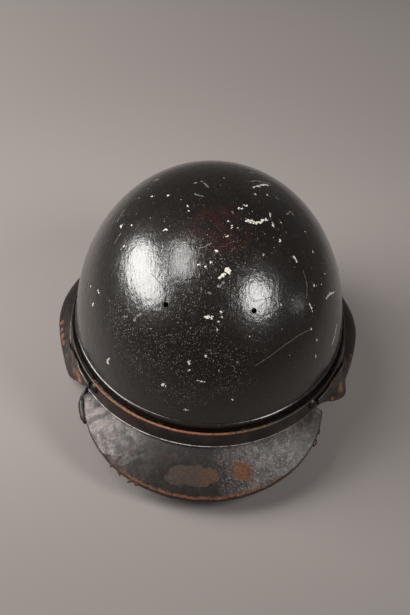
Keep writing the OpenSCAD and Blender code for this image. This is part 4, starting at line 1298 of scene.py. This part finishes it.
def curtain_offset(t, v):
    v = max(0.0, v)
    swell = sind(90 * min(1, v / BULGE_SHARE))
    draw = BULGE_DRAW_IN * (max(0, v - BULGE_SHARE) / (1 - BULGE_SHARE)) ** 2
    bulge = mix(NECK_BULGE, EAR_BULGE, cosd(t) ** 2)
    return STITCH_MARGIN + bulge * (swell - draw) * ease(from_front(t), 0, BULGE_RAMP)


def curtain_depth(t):
    return mix(FRONT_DEPTH, CURTAIN_DROP, ease(from_front(t), 0, DEPTH_RAMP))


def curtain_point(t, v, inset=0.0):
    """Outer face of the curtain at angle t: v runs from the band to its foot, inset lies inside it."""
    p = Vector((cosd(t), sind(t), v * 0.4))
    lumps = 0.8 * MM * wobble(p, 0.30, 14.0) + 0.3 * MM * wobble(p, 0.11, 17.0)
    lumps *= ease(v, 0.0, 0.3)
    return rim_point(curtain_offset(t, v) + lumps - inset, t, CURTAIN_TOP - v * curtain_depth(t))


def panel(name, first, last, inset, wall):
    def point(u, v):
        return curtain_point(mix(first + EDGE_IN, last - EDGE_IN, u), mix(TOP_V, FOOT_V, v), inset)

    return sheet(name, point, *PANEL_STEPS, wall, -1, "uUV", PANEL_FADE_MM)


def ear_cutters(side):
    """Seven cutters for the hearing holes of one side, 1 for the wearer's left."""
    p = curtain_point(EAR_T, HOLE_V)
    middle = Vector((side * (p.x - 5 * MM), p.y, p.z))
    spots = [(0.0, 0.0)] + [(HOLE_RING * cosd(60 * k), HOLE_RING * sind(60 * k)) for k in range(1, 7)]
    return [rod(middle + Vector((0, b, a)), Vector((1, 0, 0)), HOLE_R, 0.05, 28) for a, b in spots]


for flap, (first, last, side) in FLAPS.items():
    outer = panel(flap + "_leather", first, last, 0.0, CURTAIN_WALL)
    felt_name = flap.replace("flap", "lining")
    inner = panel(felt_name + "_felt", first, last, FELT_IN, FELT_WALL)
    for obj in (outer, inner):
        if side:
            cut(obj, ear_cutters(side))
        sharpen(obj, 50)
    piece(outer, flap, "dark_leather", FLAP, flap, hangs=True)
    piece(inner, flap, "felt", FELT, felt_name, hangs=True)
    path = [(first + ROW_MARGIN, mix(ROW_TOP, ROW_FOOT, k / 20)) for k in range(20)]
    path += [(mix(first + ROW_MARGIN, last - ROW_MARGIN, k / 120), ROW_FOOT) for k in range(120)]
    path += [(last - ROW_MARGIN, mix(ROW_FOOT, ROW_TOP, k / 20)) for k in range(21)]
    points = [curtain_point(t, v, FELT_IN + FELT_WALL) for t, v in path]
    row = stitches(flap + "_stitches", points, [-rim_normal(t) for t, v in path], *FLAP_ROW)
    piece(row, flap, "dark_leather", THREAD, hangs=True)


# Temples: the ear flaps' front ends lap over the band as far as the rivets. The tables give heights in
# millimetres at angles, for the left side (1) and the right (-1).

LIP_FIRST, LIP_LAST = -38.2, -8.0
LIP_WALL, LIP_THIN = 1.9 * MM, 0.5 * MM
LIP_GAP = 1.3 * MM
CURL_R, CURL_IN = 1.45 * MM, 1.2 * MM
LIP_FLARE = {1: (8.5, -23.5, 5.5), -1: (2.4, -29.0, 7.0)}
LIP_TOP = ((-38.2, -9.5), (-34, -8.8), (-28, -7), (-22, -9.5), (-16, -17), (-8, -23.5))
LIP_FOOT = {
    1: ((-38.2, -14.8), (-36, -17.5), (-32, -23.5), (-28, -29), (-24, -31.5), (-17, -33), (-8, -27)),
    -1: ((-38.2, -14), (-36, -16), (-33.5, -18.5), (-28.5, -23), (-23, -28), (-17, -31), (-8, -27)),
}


def along_table(table, t):
    """A value in metres from a table of angles and millimetres, with eased steps between them."""
    for (a, low), (b, high) in zip(table, table[1:]):
        if t <= b:
            return mix(low, high, mix(clamp((t - a) / (b - a)), ease(t, a, b), 0.4)) * MM
    return table[-1][1] * MM


def lip_point(side, u, v):
    """Outer face of the lip of one side: u runs back from the rivet, v down from its upper edge."""
    t = mix(LIP_FIRST, LIP_LAST, u)
    z = mix(along_table(LIP_TOP, t), along_table(LIP_FOOT[side], t), v)
    low = clamp((CURTAIN_TOP - z) / curtain_depth(t))
    carrier = max(BAND_IN + BAND_WALL + BAND_FLARE + 0.25 * MM, curtain_offset(t, low) + LIP_GAP)
    reach_mm, middle, width = LIP_FLARE[side]
    flare = reach_mm * MM * math.exp(-((t - middle) / width) ** 2) * v ** 1.2
    creases = 0.7 * MM * wobble((t * 0.01, v * 0.1, side), 0.035, 3.0)
    roll = 0.9 * MM * math.exp(-((v - 0.10) / 0.10) ** 2)
    p = rim_point(carrier + mix(LIP_WALL, 0.7 * MM, ease(u, 0.5, 1.0)) + flare + creases + roll, t, z)
    return Vector((p.x * side, p.y, p.z))


def lip_wall(u, v):
    return mix(LIP_WALL, LIP_THIN, ease(u, 0.5, 1.0))


def make_lip(name, side):
    """One lip with its curled foot."""
    skin = sheet(name + "_sheet", lambda u, v: lip_point(side, u, v), 60, 22, lip_wall, -side, "v", 3.0)
    path = []
    for k in range(51):
        u = mix(0.01, 0.80, k / 50)
        n = -rim_normal(mix(LIP_FIRST, LIP_LAST, u))
        path.append(lip_point(side, u, 0.985) + Vector((n.x * side, n.y, 0)) * CURL_IN)
    return join(name, [skin, tube(name + "_curl", path, CURL_R, 12)])


LIP_SPOTS = {
    1: ((0.48, 0.62, 6.0), (0.30, 0.90, 2.5)),
    -1: ((0.27, 0.55, 5.5), (0.20, 0.85, 4.0), (0.40, 0.75, 3.5)),
}
for flap, side in (("ear_flap_left", 1), ("ear_flap_right", -1)):
    lip = make_lip(flap + "_lip", side)
    paint = worn_lip([(lip_point(side, u, v), size) for u, v, size in LIP_SPOTS[side]], 0.4)
    piece(lip, flap, "dark_leather", paint, hangs=True)


# Liner: tongues, their tunnels, the lace, the sweatband and the crown pad

TIP_R = LACE_R + TUNNEL_R - TONGUE_WALL / 2
TONGUE_TOP = LACE_Z + TONGUE_WALL / 2
TONGUE_SPREAD = 180 / TONGUES - 1.2
TUNNEL_SPREAD = 12.0
FOOT_SHARE = 0.22
TUNNEL_WALL = 1.5 * MM
KNOT_T = 90.0
KNOT_HALF, KNOT_TURNS, KNOT_OUT = 5.5, 3.2, 2.1 * MM
KNOT_R, END_R = 0.95 * MM, 0.85 * MM
STRAND_TURNS, STRAND_STEPS = 28, 560
STRAND_OUT, STRAND_R = 0.65 * MM, 0.68 * MM


def tongue_point(k, u, w, d=0.0):
    """Outer face of tongue k: u runs across it, w from its foot to the lace, d stands off outwards."""
    narrow = mix(TONGUE_SPREAD * 0.8, TUNNEL_SPREAD, clamp((w - FOOT_SHARE) / (1 - FOOT_SHARE)))
    spread = mix(TONGUE_SPREAD, narrow, ease(w, FOOT_SHARE - 0.07, FOOT_SHARE + 0.03))
    t = 360 * (k + 0.5) / TONGUES + spread * (2 * u - 1)
    c, s = cosd(90 * w) ** 0.8 if w < 1 else 0.0, sind(90 * w)
    across = TIP_R + (HALF_W + TONGUE_OUT - TIP_R) * c + d * c
    along = TIP_R + (HALF_L + TONGUE_OUT - TIP_R) * c + d * c
    z = RIM_Z + mix(TONGUE_BOTTOM, TONGUE_TOP, s) + d * s
    p = Vector((across * cosd(t), CENTRE_Y + along * sind(t), z))
    sag = 0.7 * MM * wobble(Vector((cosd(t), sind(t), w)), 0.4, 31.0) * math.sin(math.pi * w)
    inward = Vector((p.x, p.y - CENTRE_Y, 0)).normalized() * -abs(sag)
    return p + inward * c


def lace_point(t, r, b):
    """A point r from the lace's middle, turned b up from the outside, at angle t round the ring."""
    out = LACE_R + r * cosd(b)
    return Vector((out * cosd(t), CENTRE_Y + out * sind(t), RIM_Z + LACE_Z + r * sind(b)))


def make_tongue(k):
    def wrap(u, v):
        t = 360 * (k + 0.5) / TONGUES + TUNNEL_SPREAD * (2 * u - 1)
        return lace_point(t, TUNNEL_R - 0.05 * MM, mix(8, 352, v))

    tongue = sheet("tongue", lambda u, w: tongue_point(k, u, w), 20, 30, TONGUE_WALL, 1, "uUv", 4.0)
    return join(f"tongue_leather_{k}", [tongue, sheet("tunnel", wrap, 12, 26, TUNNEL_WALL, 1, "uU", 2.0)])


def cord_strand(phase):
    path = []
    for k in range(STRAND_STEPS):
        t = 360 * k / STRAND_STEPS
        path.append(lace_point(t, STRAND_OUT, phase + 360 * STRAND_TURNS * k / STRAND_STEPS))
    return tube("strand", path, STRAND_R, 8, True)


def make_knot():
    """The lace's knot at the back, with two short ends that hang inside the liner."""
    path = []
    for k in range(61):
        share = k / 60
        t = KNOT_T - KNOT_HALF + 2 * KNOT_HALF * share
        path.append(lace_point(t, KNOT_OUT, 360 * KNOT_TURNS * share))
    parts = [tube("knot_turns", path, KNOT_R, 8)]
    for way in (-1, 1):
        start = lace_point(KNOT_T + 4 * way, 1.8 * MM, 200)
        ends = []
        for k in range(15):
            share = k / 14
            swing = Vector((way * 5 * MM * share ** 1.4, -4 * MM * share, -17 * MM * share))
            curl = Vector((0.9 * MM * math.sin(7 * share + way), 0.8 * MM * math.cos(6 * share), 0))
            ends.append(start + swing + curl * share)
        parts.append(tube("knot_end", ends, END_R, 8))
    return join("lace_knot", parts)


for k in range(TONGUES):
    replaced = () if k else ("liner_tongues",)
    piece(make_tongue(k), "helmet", "tan_leather", TAN, *replaced)
    for w, name in ((0.90, "a"), (0.865, "b")):
        line = [tongue_point(k, 0.06 + 0.88 * i / 20, w, -TONGUE_WALL) for i in range(21)]
        down = [Vector((0, CENTRE_Y, RIM_Z)) - p for p in line]
        row = stitches(f"tongue_stitches_{name}_{k}", line, down, *TONGUE_ROW)
        piece(row, "helmet", "tan_leather", THREAD)

strands = [cord_strand(phase) for phase in (0, 120, 240)] + [make_knot()]
piece(join("lace_cord", strands), "helmet", "cord", CORD, "liner_lace")

SWEAT_TOP = 21 * MM
SWEAT_LEAN = 3 * MM
SWEAT_OUT = TONGUE_OUT - TONGUE_WALL - 0.2 * MM
SWEAT_IN = SWEAT_OUT - SWEAT_WALL
SWEAT_STEPS = 300
HEM = FRAME_BOTTOM - 0.2 * MM
HEM_OUT = FRAME_OUT + 0.4 * MM


def sweat_sway(t):
    p = Vector((cosd(t), sind(t), 0))
    return (-0.35 * MM * abs(wobble(p, 0.16, 3.0)), 0.25 * MM * wobble(p, 0.3, 6.0))


def make_sweatband():
    r = SWEAT_WALL / 2
    waist = mix(TONGUE_BOTTOM, SWEAT_TOP, 0.5)
    section = arc(SWEAT_IN - SWEAT_LEAN + r, SWEAT_TOP - r, r, 180, 0, 6)
    section += [(SWEAT_OUT - SWEAT_LEAN * 0.5, waist), (SWEAT_OUT, TONGUE_BOTTOM)]
    section += [(SWEAT_OUT, mix(TONGUE_BOTTOM, HEM, k / 5)) for k in range(1, 6)]
    section += arc(HEM_OUT - r, HEM - r, r, 90, -90, 6)
    section += arc(SWEAT_IN + 2 * r, HEM - SWEAT_WALL + 2 * r, 2 * r, 270, 180, 5)
    section += [(SWEAT_IN, mix(HEM, TONGUE_BOTTOM, k / 6)) for k in range(1, 7)]
    section.append((SWEAT_IN - SWEAT_LEAN * 0.5, waist))
    obj = ring_piece("sweatband_leather", section, SWEAT_STEPS, sway=sweat_sway)
    edge = [clamp(1 - (SWEAT_TOP - z) / (3 * MM)) for d, z in section]
    add_field(obj, "edge", edge * SWEAT_STEPS)
    return obj


def sweat_stitches(d, z):
    """A row of stitches round the inside of the sweatband."""
    angles = [360 * k / 400 for k in range(401)]
    inward = [-rim_normal(t) for t in angles]
    return stitches("sweat_stitches", [rim_point(d, t, z) for t in angles], inward, *SWEAT_ROW)


piece(make_sweatband(), "helmet", "tan_leather", TAN, "sweatband")
foot_row = sweat_stitches(SWEAT_IN - 0.25 * MM, HEM + 3.2 * MM)
top_row = sweat_stitches(SWEAT_IN - SWEAT_LEAN * 0.82 - 0.3 * MM, mix(TONGUE_BOTTOM, SWEAT_TOP, 0.82))
piece(join("sweatband_stitches", [foot_row, top_row]), "helmet", "tan_leather", THREAD)

PAD_FIRST = 67.5
PAD_GAP = -SHELL_WALL - 0.2 * MM
PAD_IN = 0.985
PAD_MIDDLE = 4.8 * MM
PAD_EDGE, PAD_SWELL = 1.5 * MM, 5.3 * MM
QUILT_DEEP, QUILT_AT, QUILT_WIDE = 2.2 * MM, 0.55, 0.045
TUFT_DEEP, TUFT_WIDE = 2.0 * MM, 0.09


def make_crown_pad():
    """Quilted felt disc under the crown, held by a ring of quilting and a tuft in the middle."""
    steps, rows = 120, 26
    tops, unders = [], []
    for i in range(rows):
        q = 1 - i / rows
        f = 90 - (90 - PAD_FIRST) * q
        tops.append([dome_point(360 * k / steps, f, PAD_GAP) for k in range(steps)])
        under = []
        for k, p in enumerate(tops[-1]):
            depth = PAD_EDGE + PAD_SWELL * math.sqrt(1 - q ** 4)
            quilting = 0.8 + 0.2 * cosd(360 * k / steps * 24)
            depth -= QUILT_DEEP * math.exp(-((q - QUILT_AT) / QUILT_WIDE) ** 2) * quilting
            depth -= TUFT_DEEP * math.exp(-(q / TUFT_WIDE) ** 2)
            depth += 0.35 * MM * wobble(p, 0.012, 12.0)
            under.append(Vector((p.x * PAD_IN, mix(CENTRE_Y, p.y, PAD_IN), p.z - depth)))
        unders.append(under)
    top_z = RIM_Z + DOME_H + PAD_GAP
    ends = [Vector((0, CENTRE_Y, z)) for z in (top_z, top_z - PAD_MIDDLE)]
    return double_dome("crown_pad_felt", (tops, ends[0]), (unders, ends[1]))


pad = make_crown_pad()
piece(pad, "helmet", "felt", FELT, "crown_pad")


# Chin strap: on the wearer's left the half with the buckle, on the right the half with the holes

SHORT_LENGTH = STRAP_RADIUS * math.radians(-RIVET_T) / cosd(SHORT_SLOPE)
BAR_AT = 4 * MM
WIRE_R = 1.3 * MM
FOLD_WALL = 1.9 * MM
FOLD_LENGTH = 19 * MM
SLOT_FRONT = 11.4 * MM
SLOT_BACKS = (7 * MM, 10.5 * MM)
SLOT_W, SLOT_DEEP = 5.3 * MM, 12 * MM
KEEPER_AT = 0.62 * SHORT_LENGTH
KEEPER_WALL, KEEPER_W, KEEPER_ROUND, KEEPER_ROOM = 1.4 * MM, 9 * MM, 1.5 * MM, 0.5 * MM
ROW_FIRST, ROW_IN = 7 * MM, 2.4 * MM
BODY_END = LONG_LENGTH - STRAP_W
RUN_END = SHORT_LENGTH - 5 * MM
SHORT_ROW_END, LONG_ROW_END = SHORT_LENGTH - 24 * MM, BODY_END + 4 * MM
STRAP_HOLES, STRAP_HOLE_R, HOLE_PITCH, TIP_HOLE = 6, 1.6 * MM, 11 * MM, 6 * MM


def strap_frame(s, slope):
    """Middle, direction along, direction across (upwards) and outward direction at distance s."""
    t = RIVET_T + math.degrees(s * cosd(slope) / STRAP_RADIUS)
    n = rim_normal(t)
    middle = rim_point(STRAP_MID, t, -RIVET_DROP - s * sind(slope))
    along = Vector((-n.y * cosd(slope), n.x * cosd(slope), -sind(slope)))
    across = Vector((-n.y * sind(slope), n.x * sind(slope), cosd(slope)))
    return middle, along, across, n


def mirrored(obj):
    """Makes the wearer's left piece into the right one."""
    for v in obj.data.vertices:
        v.co.x = -v.co.x
    obj.data.flip_normals()
    return obj


def tab_half(s):
    """Half width of a strap with a round tab behind its rivet."""
    half = STRAP_W / 2
    return half if s >= 0 else math.sqrt(max(0.0, half ** 2 - s ** 2))


def tip_half(s):
    """The same for the strap that also has a pointed tip."""
    k = clamp((s - BODY_END) / STRAP_W)
    return STRAP_W / 2 * (1 - 0.78 * k * math.sqrt(k)) if s > BODY_END else tab_half(s)


def strap_sheet(name, slope, last, half, steps):
    """A strap from its round tab to last, with rounded edges inside half(s)."""
    r = STRAP_WALL / 2
    first = -STRAP_W / 2 + r * 1.05

    def point(u, v):
        s = mix(first, last, u)
        middle, along, across, n = strap_frame(s, slope)
        width = max(0.4 * MM, half(s) - r)
        sag = 0.25 * MM * wobble(Vector((s, v * 0.01, slope)), 0.02, 2.0)
        return middle + across * width * (2 * v - 1) + n * (r + sag)

    return sheet(name, point, steps, 14, STRAP_WALL, 1, "uUvV", 3.0)


def make_buckle_strap():
    """The short half, folded back round the buckle's bar."""
    bend = WIRE_R + 0.1 * MM + FOLD_WALL / 2
    back_run = -STRAP_WALL / 2 - FOLD_WALL / 2 - 0.1 * MM
    straight = strap_sheet("strap_run", SHORT_SLOPE, RUN_END, tab_half, 90)
    middle, along, across, n = strap_frame(SHORT_LENGTH, SHORT_SLOPE)
    line = []
    for k in range(9):
        line.append((mix(-9, 4, k / 8) * MM, mix(0.3 * MM, bend, ease(k / 8, 0.1, 1.0))))
    line += arc(BAR_AT, 0, bend, 90, -90, 12)[1:]
    for k in range(1, 13):
        line.append((BAR_AT - FOLD_LENGTH * (k / 12), mix(-bend, back_run, ease(k / 12, 0.1, 0.5))))
    line = [Vector(p) for p in line]
    half = STRAP_W / 2 - FOLD_WALL / 2

    def point(u, v):
        place = u * (len(line) - 1)
        i = min(int(place), len(line) - 2)
        a, b = line[i], line[i + 1]
        before, after = line[max(i - 1, 0)], line[min(i + 2, len(line) - 1)]
        d = (b - before).lerp(after - a, place - i).normalized()
        p = a.lerp(b, place - i) + Vector((-d.y, d.x)) * FOLD_WALL / 2
        return middle + along * p.x + n * p.y + across * half * (2 * v - 1)

    fold = sheet("strap_fold", point, 96, 14, FOLD_WALL, 1, "vV", 3.0)
    for layer, back in zip((straight, fold), SLOT_BACKS):
        size = Matrix.Diagonal((back + SLOT_FRONT, SLOT_W, SLOT_DEEP, 1))
        place = axes_to_matrix(middle + along * (SLOT_FRONT - back) / 2, along, across, n)
        cut(layer, [cutter(bmesh.ops.create_cube, size=1.0, matrix=place @ size)])
    return join("buckle_strap_leather", [straight, fold])


def make_holed_strap():
    obj = strap_sheet("holed_strap_leather", LONG_SLOPE, LONG_LENGTH - STRAP_WALL / 2, tip_half, 180)
    for k in range(STRAP_HOLES):
        middle, _, _, n = strap_frame(BODY_END - TIP_HOLE - k * HOLE_PITCH, LONG_SLOPE)
        cut(obj, [rod(middle, n, STRAP_HOLE_R, 0.01, 20)])
    return mirrored(obj)


def strap_stitches(name, slope, last, half, face):
    """Two rows of stitches along a strap's edges, on the outside if face is 1, else inside."""
    rows = []
    for way in (-1, 1):
        line, outs = [], []
        for k in range(121):
            s = mix(ROW_FIRST, last, k / 120)
            middle, _, across, n = strap_frame(s, slope)
            under_keeper = 1 - ease(abs(s - KEEPER_AT), 10 * MM, 14 * MM)
            worn = 0.2 * MM * under_keeper if slope == SHORT_SLOPE else 0
            rise = STRAP_WALL / 2 + 0.05 * MM - worn
            line.append(middle + across * way * (half(s) - ROW_IN) + n * face * rise)
            outs.append(n * face)
        rows.append(stitches("strap_row", line, outs, *STRAP_ROW))
    return join(f"{name}_{face}", rows)


def make_keeper():
    """The leather loop that holds the strap's tip."""
    middle, along, across, n = strap_frame(KEEPER_AT, SHORT_SLOPE)
    wall, r = KEEPER_WALL, KEEPER_ROUND
    half_w = STRAP_W / 2 + KEEPER_ROOM + wall / 2
    half_h = STRAP_WALL / 2 + KEEPER_ROOM + wall / 2
    section = rounded_box(-wall / 2, wall / 2, -KEEPER_W / 2, KEEPER_W / 2, 0.5 * MM, 3)
    signs = ((1, 1), (-1, 1), (-1, -1), (1, -1))
    centres = [Vector((x * (half_w - r), y * (half_h - r))) for x, y in signs]
    rings = []
    for k, (centre, end) in enumerate(zip(centres, centres[1:] + centres[:1])):
        stops = [(centre, 90 * k + 90 * i / 8) for i in range(9)]
        stops += [(centre.lerp(end, i / 8), 90 * k + 90) for i in range(1, 8)]
        for place, a in stops:
            ring = []
            for d, z in section:
                p = place + Vector((cosd(a), sind(a))) * (r + d)
                ring.append(middle + across * p.x + n * p.y + along * z)
            rings.append(ring)
    return sharpen(loft("keeper_leather", rings, loop=True), 60)


piece(make_buckle_strap(), "chin_strap_left", "strap_leather", STRAP, "chin_strap_left")
piece(make_holed_strap(), "chin_strap_right", "strap_leather", STRAP, "chin_strap_right")
for face in (1, -1):
    row = strap_stitches("buckle_strap_stitches", SHORT_SLOPE, SHORT_ROW_END, tab_half, face)
    piece(row, "chin_strap_left", "strap_leather", THREAD)
    row = strap_stitches("holed_strap_stitches", LONG_SLOPE, LONG_ROW_END, tip_half, face)
    piece(mirrored(row), "chin_strap_right", "strap_leather", THREAD)
piece(make_keeper(), "keeper", "strap_leather", STRAP, "keeper_loop")


# Solids that stay as they are, with their own materials

KEPT = (
    (FIBRE, ("headband_frame",)),
    (CORK, ("frame_spacers",)),
    (STEEL, ("liner_rivets",)),
    (DARK_RIVET, ("strap_rivet_left", "strap_rivet_right")),
    (BRASS, ("rivet_washer_left", "rivet_washer_right", "band_joint_rivets", "buckle_frame", "buckle_prong")),
)
for material, names in KEPT:
    for name in names:
        dress(nodes[name], material)


# Floor and lights

FLOOR_HALF = 2.6
FLOOR_STEPS = 24
LIGHT_DISTANCE = 1.5
LIGHT_COLOUR = (1.0, 0.985, 0.96)
WORLD_COLOUR = (1.0, 0.97, 0.94, 1)
WORLD_STRENGTH = 0.11


def make_floor():
    stops = [FLOOR_HALF * (2 * i / FLOOR_STEPS - 1) for i in range(FLOOR_STEPS + 1)]
    faces = []
    for i in range(FLOOR_STEPS):
        for j in range(FLOOR_STEPS):
            a = i * (FLOOR_STEPS + 1) + j
            faces.append((a, a + FLOOR_STEPS + 1, a + FLOOR_STEPS + 2, a + 1))
    return dress(raw_object("floor", [(x, y, 0.0) for x in stops for y in stops], faces), paper_with_painted_shade())


floor = make_floor()


def softbox(name, top, bottom, left, right, strength):
    """An area light that the lacquer mirrors between four points of the photograph."""
    places, ends = [], []
    for x, y in (top, bottom, left, right):
        place, normal, _, _ = shell_tree.ray_cast(eye, pixel_ray(x, y))
        sight = (eye - place).normalized()
        way = (normal * 2 * normal.dot(sight) - sight).normalized()
        places.append(place)
        ends.append(place + way * LIGHT_DISTANCE)
    middle = sum(ends, Vector()) / 4
    back = (middle - sum(places, Vector()) / 4).normalized()
    rise = ends[0] - ends[1]
    rise -= back * rise.dot(back)
    side = rise.cross(back).normalized()
    data = bpy.data.lights.new(name, "AREA")
    data.shape = "ELLIPSE"
    data.size, data.size_y = abs((ends[3] - ends[2]).dot(side)), rise.length
    data.energy = strength * math.pi * data.size * data.size_y * math.pi / 4
    data.color = LIGHT_COLOUR
    link(name, data).matrix_world = axes_to_matrix(middle, side, rise.normalized(), back)


softbox("key_light", (138, 242), (163, 303), (127, 284), (154, 268), 18.5)
softbox("key_light_side", (181, 240), (181, 281), (173, 262), (193, 259), 11.5)
softbox("right_light", (257, 278), (257, 316), (246, 298), (268, 297), 19)
softbox("faint_light", (297, 299), (298, 310), (293, 305), (303, 304), 2.2)

world = bpy.data.worlds.new("studio")
world.use_nodes = True
background = world.node_tree.nodes["Background"]
background.inputs["Color"].default_value = WORLD_COLOUR
background.inputs["Strength"].default_value = WORLD_STRENGTH
bpy.context.scene.world = world
bpy.context.scene.view_settings.view_transform = "Standard"
